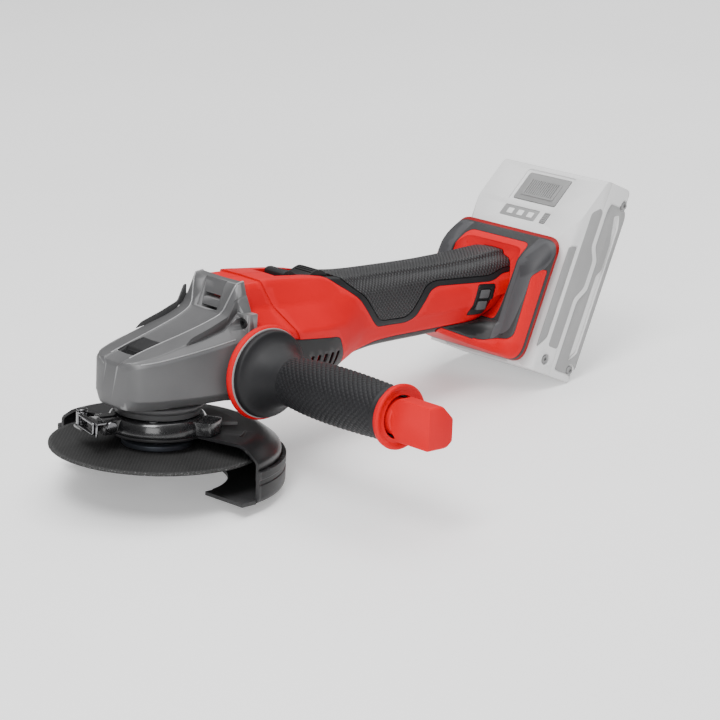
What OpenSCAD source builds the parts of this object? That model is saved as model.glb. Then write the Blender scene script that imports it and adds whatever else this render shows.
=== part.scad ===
// Cordless angle grinder with side handle, clip-on cutting cover and battery pack.
// Origin on the spindle axis in the plane of the disc. X runs back to the battery,
// the side handle points to -Y and Z is the spindle axis, up.

/* [Disc and spindle] */
// radius of the cutting disc
disc_r = 57.5; // [50:0.5:62.5]
// thickness of the disc
disc_t = 1.6; // [1:0.1:6]
// radius of the arbor hole that centres the disc
arbor_r = 11.1; // [5:0.05:12]
// radius of the inner flange and the flange nut
flange_r = 19; // [16:0.5:22]
// radius of the threaded nose of the spindle
spindle_r = 7; // [5:0.5:8]
// how far the nose stands below the disc
nose_l = 13; // [8:1:20]
// teeth on the crown gear
crown_teeth = 34; // [24:1:44]
// teeth on the motor pinion
pinion_teeth = 10; // [8:1:14]
// height of the motor axis above the disc
motor_z = 47; // [44:1:52]

/* [Gear head] */
// half width of the gear head where it meets the motor housing
head_w = 30.5; // [28:0.5:33]
// radius of the guard seat below the gear head
neck_r = 21; // [20:0.5:22]
// running clearance of a turning fit
fit = 0.06; // [0.02:0.01:0.1]
// radius of the side handle thread
handle_thread_r = 4; // [4:1:5]

/* [Guard] */
// outside radius of the guard skirt
guard_r = 66; // [60:1:72]
// first edge of the guard, degrees from +X
guard_from = -76; // [-120:1:0]
// how far round the guard reaches
guard_span = 179; // [150:1:190]
// height of the guard plate
guard_z = 8; // [6:0.5:12]
// underside of the cutting cover
cover_z = -19; // [-24:1:-10]

/* [Side handle] */
// distance of the handle axis behind the spindle
handle_x = 43.9; // [35:0.1:55]
// height of the handle axis
handle_z = 40.2; // [35:0.1:50]
// outer end of the handle
handle_end = 139.6; // [110:0.1:160]
// radius of the collar against the gear head
collar_r = 25.7; // [20:0.1:28]

/* [Motor] */
// outside radius of the stator
stator_r = 21; // [18:0.5:25]
// radius of the rotor with its magnets
rotor_r = 11.4; // [8:0.1:14]
// radius of the motor shaft
shaft_r = 4; // [3:0.5:5]

/* [Foot and battery] */
// lean of the battery face behind the vertical, degrees
lean = 22; // [0:1:30]
// distance of the battery face along its own normal
face_w = 208; // [200:1:220]
// half width of the foot and the pack
pack_w = 42; // [38:0.5:46]
// lower end of the pack along its own length
pack_u0 = 104; // [100:1:110]
// upper end of the pack along its own length
pack_u1 = 221.5; // [210:0.5:230]
// depth of the pack behind the foot
pack_d = 50; // [40:1:65]

/* [Output] */
// node to draw on its own

/* [Hidden] */
$fn = 64;

plate_t = 1.5;
crown_r0 = 10.5;
crown_r1 = 17.5;
bush_r = 4.6;
seat_r = spindle_r - 0.3;
pin_x = 8.1;
wall = 2.6;
skin_t = 1.8;
frame_t = 2.2;
seam = 0.03;
gap = 0.3;
pack_pitch = 18.1;
cell_r = 8.95;
cell_l = 65;

// ---- helpers ----

// one closed ring of points at height or place p, from a half outline of [across, up] points
function ring(half) = concat(half,
  [for (i = [len(half) - 2:-1:1]) [-half[i][0], half[i][1]]]);

// a solid through stations [place, half outline] along X
module loft(stations) {
  rings = [for (s = stations) ring(s[1])];
  n = len(rings[0]);
  m = len(rings);
  points = [for (k = [0:m - 1]) for (p = rings[k]) [stations[k][0], p[0], p[1]]];
  sides = [for (k = [0:m - 2]) for (i = [0:n - 1])
    let (a = k * n + i, b = k * n + (i + 1) % n)
    for (t = [[a, a + n, b], [b, a + n, b + n]]) t];
  first = [for (i = [0:n - 1]) i];
  last = [for (i = [n - 1:-1:0]) (m - 1) * n + i];
  polyhedron(points, concat([first], sides, [last]));
}

// half outline drawn in by t towards its own middle
function drawn_in(half, t) =
  let (w = max([for (p = half) p[0]]), z0 = min([for (p = half) p[1]]),
       z1 = max([for (p = half) p[1]]), c = (z0 + z1) / 2, h = (z1 - z0) / 2)
  [for (p = half) [p[0] * (w - t) / w, c + (p[1] - c) * (h - t) / h]];

function stations_in(stations, t) = [for (s = stations) [s[0], drawn_in(s[1], t)]];

// half outline of a box with rounded corners, half width w, from z0 to z1
function box_half(w, z0, z1, r, n = 4) = concat([[0, z0]],
  [for (i = [0:n]) [w - r + r * sin(90 * i / n), z0 + r - r * cos(90 * i / n)]],
  [for (i = [0:n]) [w - r + r * cos(90 * i / n), z1 - r + r * sin(90 * i / n)]],
  [[0, z1]]);

// places a shape drawn in the pack's own frame, X out of its face and Z along it
module on_pack() {
  rotate([0, lean, 0]) children();
}

// places a shape drawn about the motor axis, Z pointing back along X
module on_motor(x) {
  translate([x, 0, motor_z]) rotate([0, 90, 0]) children();
}

// places a shape drawn about the handle axis, Z pointing out along -Y
module on_handle(y) {
  translate([handle_x, -y, handle_z]) rotate([90, 0, 0]) children();
}

module tube(r0, r1, h) {
  difference() {
    cylinder(r = r1, h = h);
    translate([0, 0, -1]) cylinder(r = r0, h = h + 2);
  }
}

// ball bearing of bore r0 and outside r1
module bearing(r0, r1, h) {
  difference() {
    cylinder(r = r1, h = h);
    translate([0, 0, -1]) cylinder(r = r0, h = h + 2);
    for (z = [-1, h - 0.6]) translate([0, 0, z]) tube((r0 * 2 + r1) / 3, (r0 + r1 * 2) / 3, 1.6);
  }
}

module screw(r, l, head_r, head_h) {
  cylinder(r = r, h = l);
  difference() {
    translate([0, 0, l]) cylinder(r = head_r, h = head_h);
    translate([0, 0, l + head_h / 2]) cylinder(r = head_r * 0.55, h = head_h, $fn = 6);
  }
}

// side view outline in [x, z], drawn across the tool from -w to w
module across(outline, w = 60) {
  translate([0, w, 0]) rotate([90, 0, 0]) linear_extrude(2 * w) polygon(outline);
}

// keeps a shell cut from curved lofts as one faceted solid
module faceted() {
  resize([0, 0, 0]) children();
}

module half_space(side) {
  translate([-100, side > 0 ? 0 : -100, -100]) cube([500, 100, 300]);
}

// ---- outer shapes ----

// gear head: bottom width, wall, chamfer, pocket edge and ridge of one station
function head_half(w, zb, zc, wc, zs, wr, zr) =
  [[0, zb], [w * 0.8, zb], [w - 0.6, zb + 5], [w, zb + 7], [w, zc], [w - 2, zc + 2.5],
   [wc, zs], [wr, zr], [wr * 0.8, zr + 0.2], [0, zr + 0.2]];
head_stations = [
  [-31.5, head_half(6, 27, 45, 5.5, 47.6, 5, 47.8)],
  [-30.5, head_half(12, 25, 47.5, 9.5, 50.1, 8, 50.3)],
  [-26, head_half(18.5, 24.5, 48.8, 15, 51.4, 7.5, 51.8)],
  [-18, head_half(22.6, 24.5, 50, 18, 53, 7.8, 54.2)],
  [-6, head_half(26, 24.5, 52, 20, 56, 8.6, 57.4)],
  [10, head_half(28.4, 24.5, 54.4, 21, 60, 9.8, 61.6)],
  [24, head_half(29.6, 24.5, 56.6, 21, 64, 11, 66)],
  [31, head_half(30.1, 24, 57.6, 20.5, 68, 12.5, 69.5)],
  [37.5, head_half(head_w, 23, 58.8, 19.5, 78, 17, 85.4)],
  [42, head_half(head_w, 22.5, 59.4, 19.5, 79, 16.5, 86.2)]];

// motor housing and grip: belly, side wall, shoulder and top of one station
function body_half(w, zb, zw, zs, ws, wt, zt) =
  [[0, zb], [w * 0.42, zb + 0.6], [w * 0.74, zb + 5], [w * 0.94, zb + 14], [w, zw],
   [w, zs], [ws, zs + 12], [wt + 1.5, zt - 3], [wt, zt - 0.4], [0, zt]];
body_stations = [
  [41.2, body_half(head_w - 0.2, 22.3, 47, 60, 20, 16.5, 86)],
  [56, body_half(31, 22.5, 47, 59.5, 20, 16.5, 85.6)],
  [64, body_half(32, 22.5, 47, 58.5, 21.5, 16, 85)],
  [92, body_half(31.5, 23, 47, 57.5, 21.5, 15, 82.4)],
  [106, body_half(28.5, 25, 46, 56.5, 21, 14, 80)],
  [117, body_half(24.5, 28.5, 48, 57, 20.5, 13, 78.6)],
  [130, body_half(21, 32.5, 50, 58, 18.6, 10.5, 77.8)],
  [150, body_half(19.8, 34.4, 51, 59, 17.2, 9.5, 77.4)],
  [185, body_half(19.8, 35, 51, 60, 17, 9.5, 77)],
  [215, body_half(20.8, 36, 52, 61, 17, 10, 77.6)],
  [238, body_half(20.8, 44, 56, 62, 16.6, 9.5, 79.4)],
  [247, body_half(16, 54, 64, 68, 12.5, 7, 77.5)]];

// foot: stations along the pack normal
foot_stations = [
  [162, box_half(15, 106.8, 113, 2.5)],
  [186, box_half(20.4, 106, 119.8, 5)],
  [193.4, box_half(28, 106, 122.5, 6)],
  [194, box_half(33, 106, 160, 9)],
  [198, box_half(40, 105.8, 167, 9)],
  [203, box_half(41.5, 105.5, 173.5, 9)],
  [face_w, box_half(pack_w, 105, 180, 9)]];

module foot_solid(t = 0) {
  on_pack() loft(stations_in(foot_stations, t));
}

module foot_skin() {
  difference() {
    foot_solid();
    foot_solid(frame_t);
  }
}

// side outline of the rubber on the grip
rubber_edge = [[106, 90], [109, 79.5], [117, 75.5], [125, 66], [132, 53], [138, 49], [161, 49],
  [176, 62.5], [182, 65.5], [228, 65], [241, 68.4], [260, 68.4], [260, 95]];

module body_skin() {
  difference() {
    loft(body_stations);
    loft(stations_in(body_stations, skin_t));
  }
}

// flange of the gear head that carries the side handle bosses
flange_edge = [[36, 20], [57, 20], [57, 51], [50, 56], [41, 61.3], [36, 61.3]];

// ---- gear head ----

// outside of the casting with its recesses
module head_casting() {
  difference() {
    union() {
      loft(head_stations);
      intersection() {
        loft(body_stations);
        across(flange_edge, 40);
      }
    }
    // recess between the ears with its two slots
    across([[24, 90], [32.6, 67.6], [38.6, 84.4], [38.6, 90]], 8.6);
    for (s = [[33.5, 68], [37.2, 74.6]]) translate([s[0], -6.2, s[1]]) cube([9, 12.4, 2.4]);
    // pocket for the lock button
    across([[-21.4, 46.6], [-4.7, 46.6], [-4.7, 60], [-21.4, 60]], 7.7);
    // shaded pockets on both flanks
    for (side = [-1, 1]) translate([0, side * 29.5, 0])
      across([[-6, 54.6], [-2, 60], [18, 66.5], [29, 70], [33, 78], [33, 60]], 7);
  }
}

module gear_head() {
  color("dimgray") difference() {
    union() {
      faceted() head_casting();
      for (side = [-1, 1]) translate([handle_x, side * 28, handle_z]) rotate([-90 * side, 0, 0])
        cylinder(r = 12, h = 4);
    }
    translate([0, 0, 21]) cylinder(r = 17.2, h = 3.6);
    translate([0, 0, 24.4]) cylinder(r = 18.6, h = 20.6);
    translate([0, 0, 44]) cylinder(r = bush_r, h = 8.4);
    on_motor(7) cylinder(r = 6.5, h = 19);
    on_motor(25) cylinder(r = 11, h = 7);
    on_motor(31.9) cylinder(r = 21.6, h = 30);
    translate([-pin_x, 0, 40]) cylinder(r = 1.9 + fit, h = 9);
    for (side = [-1, 1]) translate([handle_x, side * 21.8, handle_z]) rotate([-90 * side, 0, 0])
      cylinder(r = handle_thread_r, h = 12);
    for (side = [-1, 1]) translate([35, side * 25.2, 66]) rotate([0, 90, 0])
      cylinder(r = 1.6, h = 8);
    for (side = [-1, 1]) translate([29, side * 25.2, 66]) rotate([0, 90, 0])
      cylinder(r = 3.2, h = 8);
  }
}

module head_screws() {
  color("black") {
    for (side = [-1, 1]) translate([42, side * 25.2, 66]) rotate([0, -90, 0])
      screw(1.6, 5, 3, 1.8);
    for (a = [45:90:315]) rotate(a) translate([20.6, 0, 24.4]) rotate([180, 0, 0])
      screw(1.6, 4.4, 2.8, 1.4);
  }
}

module bearing_cover() {
  color("gray") difference() {
    union() {
      translate([0, 0, 18.5]) cylinder(r = 24.5, h = 5.9);
      translate([0, 0, 7.5]) cylinder(r = neck_r, h = 11.2);
      translate([0, 0, 24]) cylinder(r = 17.1, h = 0.6);
    }
    translate([0, 0, 5]) cylinder(r = 9, h = 8);
    translate([0, 0, 12]) cylinder(r = 16, h = 13);
    for (a = [45:90:315]) rotate(a) translate([20.6, 0, 17]) cylinder(r = 1.6, h = 10);
    for (a = [45:90:315]) rotate(a) translate([20.6, 0, 17.6]) cylinder(r = 3, h = 2.4);
  }
}

module lower_bearing() {
  color("silver") translate([0, 0, 14]) bearing(6, 16, 10);
}

module upper_bearing() {
  color("silver") translate([0, 0, 45]) tube(3.5, bush_r, 7);
}

module dust_seal() {
  color("black") translate([0, 0, 12]) tube(9.3, 16, 2);
}

module bearing_carrier() {
  color("gray") on_motor(32.2) difference() {
    cylinder(r = 21.4, h = 3.4);
    translate([0, 0, -1]) cylinder(r = 6, h = 6);
    for (a = [0:60:300]) rotate(a) translate([15, 0, -1]) cylinder(r = 3.2, h = 6);
  }
}

module front_motor_bearing() {
  color("silver") on_motor(25) bearing(shaft_r + fit / 2, 11, 7);
}

// ---- housing ----

// everything of the red body before it is parted down the middle
module housing_solid() {
  difference() {
    union() {
      difference() {
        loft(body_stations);
        across(rubber_edge);
        across(vent_edge);
        across(strip_edge);
      }
      loft(stations_in(body_stations, skin_t + seam));
      difference() {
        foot_solid(frame_t + seam);
        intersection() {
          loft(body_stations);
          union() {
            across(rubber_edge);
            across(strip_edge);
          }
        }
      }
    }
    across(flange_edge, 45);
    translate([30, -60, 0]) cube([12.2, 120, 120]);
    on_pack() translate([204.67, -60, 60]) cube([40, 120, 150]);
    difference() {
      intersection() {
        loft(stations_in(body_stations, wall + skin_t));
        translate([38, -40, 0]) cube([190, 80, 100]);
      }
      screw_posts();
    }
    screw_bores();
    on_motor(30) cylinder(r = 21.6, h = 57.5);
    on_motor(87) cylinder(r = 20.7, h = 15.7);
    on_pack() intersection() {
      loft(stations_in(foot_stations, 5));
      translate([190, -60, 90]) cube([30, 120, 120]);
    }
    switch_pocket();
    translate([82, -2.6, 64]) cube([26, 5.2, 20]);
    bezel_pocket();
    button_holes(gap);
  }
}

module switch_pocket() {
  across([[70.2, 80.2], [112.5, 76], [112.5, 90], [70.2, 90]], 9.5);
}

module bezel_pocket() {
  translate([0, -26, 0]) across([[207, 45.5], [226, 43.5], [229, 63], [213, 65]], 8);
}

module housing_left() {
  color("red") faceted() intersection() {
    housing_solid();
    half_space(1);
  }
}

module housing_right() {
  color("red") faceted() intersection() {
    housing_solid();
    half_space(-1);
  }
}

// place along the body, height and seat of each screw that holds the halves together
screw_seats = [[58, 76, 14], [128, 42, 11.5], [180, 46, 11.5]];

module at_screws() {
  for (p = screw_seats) translate([p[0], p[2], p[1]]) rotate([-90, 0, 0]) children();
}

module screw_posts() {
  for (p = screw_seats) translate([p[0], 0, p[1]]) rotate([90, 0, 0])
    cylinder(r = 3.6, h = 60, center = true);
}

module screw_bores() {
  at_screws() {
    translate([0, 0, -20]) cylinder(r = 1.56, h = 21);
    cylinder(r = 2.9, h = 30);
  }
}

module housing_screws() {
  color("black") at_screws() translate([0, 0, -20]) screw(1.5, 20, 2.6, 1.4);
}

// black lower flanks of the motor housing with air slots
vent_edge = [[62, 15], [112.5, 15], [111, 35], [103, 50.5], [98, 53.8], [62, 56]];

module vent_solid() {
  intersection() {
    body_skin();
    across(vent_edge);
  }
}

module vent_panels() {
  color([0.12, 0.12, 0.13]) faceted() difference() {
    vent_solid();
    for (x = [80:5:100]) for (side = [-1, 1]) translate([x, side * 30, 36]) cube([2, 24, 9],
      center = true);
  }
}

// black strip along the underside of the grip
strip_edge = [[112.5, 15], [112.5, 31], [117, 31.6], [131, 37.5], [145, 39.5], [200, 40.5],
  [204, 41], [204, 30], [200, 15]];

module strip_solid() {
  intersection() {
    body_skin();
    across(strip_edge);
  }
}

module grip_strip() {
  color([0.12, 0.12, 0.13]) faceted() strip_solid();
}

module grip_overmould() {
  color([0.15, 0.15, 0.16]) faceted() difference() {
    intersection() {
      body_skin();
      across(rubber_edge);
    }
    switch_pocket();
  }
}

// ---- foot ----

// red strips let into the flanks and underside of the foot
module foot_panel_zone() {
  on_pack() {
    for (side = [-1, 1]) translate([193, side * 42 - 6, 100]) cube([9.5, 12, 55]);
    translate([160, -60, 100]) cube([42.5, 120, 9]);
  }
}

module foot_rim_zone() {
  on_pack() translate([204.6, -60, 90]) cube([20, 120, 120]);
}

module foot_frame() {
  color([0.13, 0.13, 0.14]) faceted() difference() {
    foot_skin();
    loft(body_stations);
    foot_panel_zone();
    foot_rim_zone();
  }
}

module foot_panels() {
  color("red") faceted() intersection() {
    difference() {
      foot_skin();
      loft(body_stations);
      foot_rim_zone();
    }
    foot_panel_zone();
  }
}

module foot_rim() {
  edge = box_half(pack_w - 0.1, 105.1, 178.4, 9);
  color("darkred") on_pack() translate([204.7, 0, 0]) rotate([90, 0, 90])
    linear_extrude(face_w - 204.7) difference() {
      polygon(ring(edge));
      polygon(ring(drawn_in(edge, frame_t)));
    }
}

// tongue that the pack slides down on
module pack_receiver() {
  color([0.1, 0.1, 0.1]) on_pack() difference() {
    union() {
      intersection() {
        loft(stations_in(foot_stations, 5 + seam));
        translate([face_w - 4, -60, 90]) cube([4, 120, 120]);
      }
      translate([face_w, -20, 114]) cube([4, 40, 52]);
      translate([face_w + 3.5, -25, 114]) cube([3, 50, 52]);
    }
    for (y = [-12, 0, 12]) translate([face_w + 1, y - 1.5, 110]) cube([8, 3, 44]);
  }
}

module terminal_block() {
  color("gold") on_pack() for (y = [-12, 0, 12])
    translate([face_w + 1.2, y - 0.5, 116]) cube([4.6, 1, 36]);
}

// ---- motor ----

module stator_core() {
  color("gray") on_motor(58) difference() {
    cylinder(r = stator_r, h = 28);
    translate([0, 0, -1]) cylinder(r = rotor_r + 0.6, h = 30);
    for (a = [30:60:330]) rotate(a) translate([13.4, -2.5, -1]) cube([5, 5, 30]);
  }
}

module stator_windings() {
  color("orangered") for (x = [53.2, 86]) on_motor(x) tube(13, 19.5, 4.8);
}

module sensor_board() {
  color("darkgreen") on_motor(91) tube(8, 20, 1.6);
}

module rear_motor_bearing() {
  color("silver") on_motor(96.2) bearing(3 + fit / 2, 9.5, 6);
}

module motor_end_bracket() {
  color([0.2, 0.2, 0.2]) on_motor(94) difference() {
    cylinder(r = 20.4, h = 8.2);
    translate([0, 0, 2.2]) cylinder(r = 9.5, h = 8);
    translate([0, 0, -1]) cylinder(r = 5, h = 5);
    for (a = [0:45:315]) rotate(a) translate([15, 0, -1]) cylinder(r = 3.4, h = 12);
  }
}

module control_board() {
  color("darkgreen") translate([140, -13, 55]) cube([70, 26, 1.6]);
  color([0.2, 0.2, 0.2]) translate([150, -11, 56.6]) cube([30, 22, 7]);
}

module switch_module() {
  color([0.15, 0.15, 0.15]) translate([113.5, -8, 54]) cube([20, 16, 13]);
  color("silver") translate([118, -3, 67]) cube([4, 6, 1.5]);
}

module button_bezel() {
  color([0.1, 0.1, 0.1]) faceted() difference() {
    intersection() {
      difference() {
        loft(body_stations);
        translate([150, -18, 0]) cube([100, 60, 100]);
        on_pack() translate([193, -60, 60]) cube([40, 120, 120]);
      }
      translate([0, -26, 0]) across([[207.3, 45.8], [225.7, 43.8], [228.7, 62.7], [213.2, 64.7]], 8);
    }
    button_holes(gap);
  }
}

module button_holes(g) {
  for (b = [[219.6, 59], [217, 49.6]]) translate([b[0] - 4 - g, -30, b[1] - 3.4 - g])
    cube([8 + 2 * g, 20, 6.8 + 2 * g]);
}

// ---- spindle ----

module spindle() {
  color("silver") {
    translate([0, 0, -disc_t / 2 - nose_l]) cylinder(r = spindle_r, h = nose_l - 6.2);
    translate([0, 0, -disc_t / 2 - 6.2]) cylinder(r = seat_r, h = 12);
    translate([0, 0, 5]) cylinder(r = 9.0 - fit, h = 8.9);
    translate([0, 0, 13.9]) cylinder(r = 6 - fit / 2, h = 21.1);
    translate([0, 0, 35]) cylinder(r = 3.5 - fit / 3, h = 16.5);
  }
}

// straight teeth that run to the point where both axes cross
module bevel_teeth(teeth, r, h, depth) {
  wide = 0.2;
  narrow = 0.075;
  step = 360 / teeth;
  outline = [for (i = [0:teeth - 1]) for (q = [[-wide, -1], [-narrow, 1], [narrow, 1], [wide, -1]])
    let (a = (i + q[0]) * step) (r + q[1] * depth) * [cos(a), sin(a)]];
  linear_extrude(h, scale = crown_r0 / crown_r1) polygon(outline);
}

pitch_z = motor_z - crown_r1 * pinion_teeth / crown_teeth;
pitch_h = (crown_r1 - crown_r0) * pinion_teeth / crown_teeth;

module crown_gear() {
  color("gray") difference() {
    union() {
      translate([0, 0, 35]) cylinder(r = crown_r1, h = pitch_z - 36.2);
      translate([0, 0, 27]) cylinder(r = 10, h = 8.4);
      intersection() {
        translate([0, 0, pitch_z]) bevel_teeth(crown_teeth, crown_r1, pitch_h, 2.6);
        translate([0, 0, 30]) tube(crown_r0, crown_r1, 30);
      }
      difference() {
        translate([0, 0, pitch_z - 1.2]) cylinder(r1 = crown_r1, r2 = crown_r0, h = pitch_h);
        translate([0, 0, 30]) cylinder(r = crown_r0, h = 30);
      }
    }
    translate([0, 0, 26]) cylinder(r = 3.5, h = 30);
    translate([0, 0, 26]) cylinder(r = 6 - fit / 2, h = 9);
    for (a = [0:90:270]) rotate(a) translate([-pin_x, 0, 37.6]) cylinder(r = 2.2, h = 20);
  }
}

module inner_flange() {
  color("lightsteelblue") difference() {
    union() {
      translate([0, 0, disc_t / 2]) cylinder(r = flange_r, h = 1.8);
      translate([0, 0, disc_t / 2 + 1.8]) cylinder(r1 = flange_r, r2 = flange_r - 1.5, h = 1.5);
      translate([0, 0, disc_t / 2 + 3.3]) cylinder(r = 12, h = 0.9);
      translate([0, 0, -disc_t / 2]) cylinder(r = arbor_r, h = disc_t);
    }
    translate([0, 0, -5]) cylinder(r = seat_r, h = 20);
  }
}

module cutting_disc() {
  color([0.2, 0.2, 0.2]) translate([0, 0, -disc_t / 2]) tube(arbor_r, disc_r, disc_t);
}

module flange_nut() {
  color("lightsteelblue") difference() {
    translate([0, 0, -disc_t / 2 - 6]) union() {
      cylinder(r = 14, h = 3);
      translate([0, 0, 3]) cylinder(r = flange_r, h = 3);
    }
    translate([0, 0, -20]) cylinder(r = seat_r, h = 20);
    for (a = [0:90:270]) rotate(a) translate([11, 0, -10]) cylinder(r = 2.2, h = 7);
  }
}

// ---- rotor ----

module motor_shaft() {
  color("silver") {
    on_motor(20) cylinder(r = shaft_r, h = 76);
    on_motor(95) cylinder(r = 3, h = 9);
    on_motor(8.6) cylinder(r = 1.6, h = 12);
  }
}

module rotor_core() {
  color("dimgray") on_motor(57) tube(shaft_r, rotor_r, 30);
}

module pinion() {
  pr = crown_r1 * pinion_teeth / crown_teeth;
  color("gray") difference() {
    union() {
      translate([crown_r1, 0, motor_z]) rotate([0, -90, 0]) rotate(180 / pinion_teeth)
        intersection() {
          bevel_teeth(pinion_teeth, pr, crown_r1 - crown_r0, 0.75);
          cylinder(r = pr + 2, h = 7);
        }
      on_motor(crown_r1) cylinder(r = pr - 0.2, h = 2.5);
    }
    on_motor(8) cylinder(r = 1.6, h = 30);
  }
}

module cooling_fan() {
  color([0.15, 0.15, 0.15]) on_motor(41) difference() {
    union() {
      cylinder(r = 20.3, h = 1.6);
      cylinder(r = 7, h = 10);
      for (a = [0:30:330]) rotate(a) translate([6, -0.7, 0.2]) cube([14.2, 1.4, 9.6]);
    }
    translate([0, 0, -1]) cylinder(r = shaft_r, h = 12);
  }
}

// ---- guard ----

module guard_shell() {
  color([0.12, 0.12, 0.13]) union() {
    translate([0, 0, guard_z]) tube(neck_r + fit, 30, plate_t);
    rotate_extrude(angle = guard_span, start = guard_from, $fn = 128) polygon([
      [30, guard_z], [54, guard_z], [guard_r - 1.6, 1.5], [guard_r - 1.6, -8], [guard_r, -8],
      [guard_r, 2.2], [54.6, guard_z + plate_t], [30, guard_z + plate_t]]);
  }
}

// angle of the clamp round the guard seat
clamp_a = 166;

module guard_band() {
  color([0.1, 0.1, 0.1]) difference() {
    union() {
      translate([0, 0, guard_z + plate_t]) tube(neck_r + fit, 25, 8);
      rotate(clamp_a) translate([22, -7, guard_z + plate_t + 0.1]) cube([11.5, 14, 7.8]);
      rotate(clamp_a) translate([22, -15.5, guard_z + plate_t + 0.2]) cube([20, 12, 1.4]);
    }
    rotate(clamp_a) translate([15, -2, 0]) cube([30, 4, 40]);
    translate([0, 0, 5]) cylinder(r = neck_r + fit, h = 20);
    rotate(clamp_a) translate([30, -10, 14.2]) rotate([-90, 0, 0]) cylinder(r = 2, h = 20);
    rotate(clamp_a) translate([38.2, -12, 5]) cylinder(r = 1.6, h = 10);
  }
}

module guard_tab() {
  color("gray") translate([0, 0, guard_z + plate_t]) rotate_extrude(angle = 42, start = -30)
    polygon([[25.2, 0], [43, 0], [43, 1.8], [25.2, 1.8]]);
}

module clamp_bolt() {
  color("silver") rotate(clamp_a) {
    translate([30, -8, 14.2]) rotate([-90, 0, 0]) {
      cylinder(r = 2, h = 16);
      translate([0, 0, -1.6]) cylinder(r = 3.1, h = 2.6, $fn = 6);
      translate([0, 0, 15]) cylinder(r = 3.1, h = 2.4);
    }
    translate([38.2, -12, guard_z]) cylinder(r = 1.6, h = 11.4);
    translate([38.2, -12, guard_z + 10.9]) cylinder(r = 2.8, h = 1);
  }
}

// toggle lever that draws the band tight
module clamp_lever() {
  color("silver") rotate(clamp_a) translate([38.2, -12, guard_z + 3.2]) {
    tube(1.6 + fit, 3, 7.4);
    translate([1.9, 1.6, 0]) cube([1.1, 25, 7.4]);
    translate([-3.2, 12, 6.2]) cube([5.4, 14.6, 1.2]);
  }
}

// plastic cover that clips over the guard for cutting
module cutting_cover() {
  color([0.08, 0.08, 0.08]) rotate_extrude(angle = guard_span + 2, start = guard_from - 2,
    $fn = 128) polygon([[38, cover_z], [67, cover_z], [68.6, cover_z + 2], [68.6, -2],
      [guard_r + 0.4, -2], [guard_r + 0.4, cover_z + 3], [66, cover_z + 2], [38, cover_z + 2]]);
}

// ---- controls ----

module lock_button() {
  color([0.1, 0.1, 0.1]) across([[-21, 49.8], [-5.1, 49.8], [-5.1, 56.4], [-17.6, 50.9],
    [-21, 50.6]], 7.3);
}

module lock_pin() {
  color("silver") translate([-pin_x, 0, 41.1]) cylinder(r = 1.9, h = 8.7);
}

module lock_spring() {
  color("silver") translate([-pin_x, 0, 46.6]) for (k = [0:3])
    translate([0, 0, 0.35 + k * 0.83]) rotate_extrude() translate([2.6, 0]) circle(0.3, $fn = 16);
}

module slide_switch() {
  color([0.1, 0.1, 0.1]) {
    across([[78, 80.9], [110, 77.8], [110, 79.4], [106, 83], [102, 83.6], [97, 81], [88, 81.6],
      [84, 85], [80, 85.4], [78, 84.4]], 8);
    translate([96, -2, 68.6]) cube([4, 4, 11.6]);
    translate([96, -2, 68.6]) cube([20, 4, 2]);
  }
}

module speed_button(x, z) {
  color("gray") translate([x - 4, -21.6, z - 3.4]) cube([8, 6, 6.8]);
}

module upper_button() {
  speed_button(219.6, 59);
}

module lower_button() {
  speed_button(217, 49.6);
}

// ---- battery pack, drawn in its own frame ----

nose_u = 180;
nose_w = 229.6;
front_w = face_w + 0.4;
back_w = face_w + pack_d;

// outside of the pack, drawn in by t
module pack_solid(t = 0) {
  intersection() {
    across([[front_w + t, pack_u0 + 5 + t * 0.4], [front_w + 5 + t * 0.4, pack_u0 + t],
      [back_w - 6 - t * 0.4, pack_u0 + t], [back_w - t, pack_u0 + 6 + t * 0.4],
      [back_w - t, pack_u1 - 12], [back_w - 8, pack_u1 - t], [nose_w + t, pack_u1 - t],
      [front_w + 2.6 + t, nose_u - t * 0.4], [front_w + t, nose_u - 4 - t * 0.4]], pack_w - t);
    translate([0, 0, 90]) linear_extrude(150) polygon([
      [front_w - 1, -30], [front_w + 9, -pack_w + t], [back_w - 7, -pack_w + t],
      [back_w - t, -pack_w + 7 + t], [back_w - t, pack_w - 7 - t], [back_w - 7, pack_w - t],
      [front_w + 9, pack_w - t], [front_w - 1, 30]]);
  }
}

// recess that the tongue of the foot runs in, open at the lower end
module pack_slot() {
  translate([face_w - 1, -20.4, 90]) cube([4.8, 40.8, 78.6]);
  translate([face_w + 3.2, -25.4, 90]) cube([3.7, 50.8, 78.6]);
}

module pack_shell() {
  difference() {
    pack_solid();
    difference() {
      pack_solid(2.4);
      translate([face_w - 1, -28, 90]) cube([10, 56, 82]);
      latch_walls();
    }
    pack_slot();
    latch_pocket();
    at_pack_screws() cylinder(r = 2.6, h = 6);
  }
}

// seats of the screws in both flanks of the pack
module at_pack_screws() {
  for (p = [[250, 212], [250, 111], [226, 112]]) for (side = [-1, 1])
    translate([p[0], side * (pack_w - 1.8), p[1]]) rotate([-90 * side, 0, 0]) children();
}

// places a shape on the sloping nose, Z out of it
module on_nose(u) {
  s = (u - nose_u) / (pack_u1 - nose_u);
  translate([front_w + 2.6 + s * (nose_w - front_w - 2.6), 0, u])
    rotate([0, -90 + atan2(nose_w - front_w - 2.6, pack_u1 - nose_u), 0]) children();
}

module latch_pocket() {
  on_nose(207) translate([-9.5, -17, -4.4]) cube([20, 34, 8]);
  on_nose(190) translate([-4, -10, -1]) cube([8, 28, 3]);
  on_nose(190) translate([-4, -18.6, -3]) cube([8, 4.6, 6]);
}

// walls of the case round the latch and the gauge button
module latch_walls() {
  intersection() {
    union() {
      on_nose(207) translate([-11.1, -18.6, -6]) cube([23.2, 37.2, 8]);
      on_nose(190) translate([-5.6, -20.2, -4.6]) cube([11.2, 7.8, 6]);
    }
    translate([200, -60, 150]) cube([33, 120, 100]);
  }
}

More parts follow.
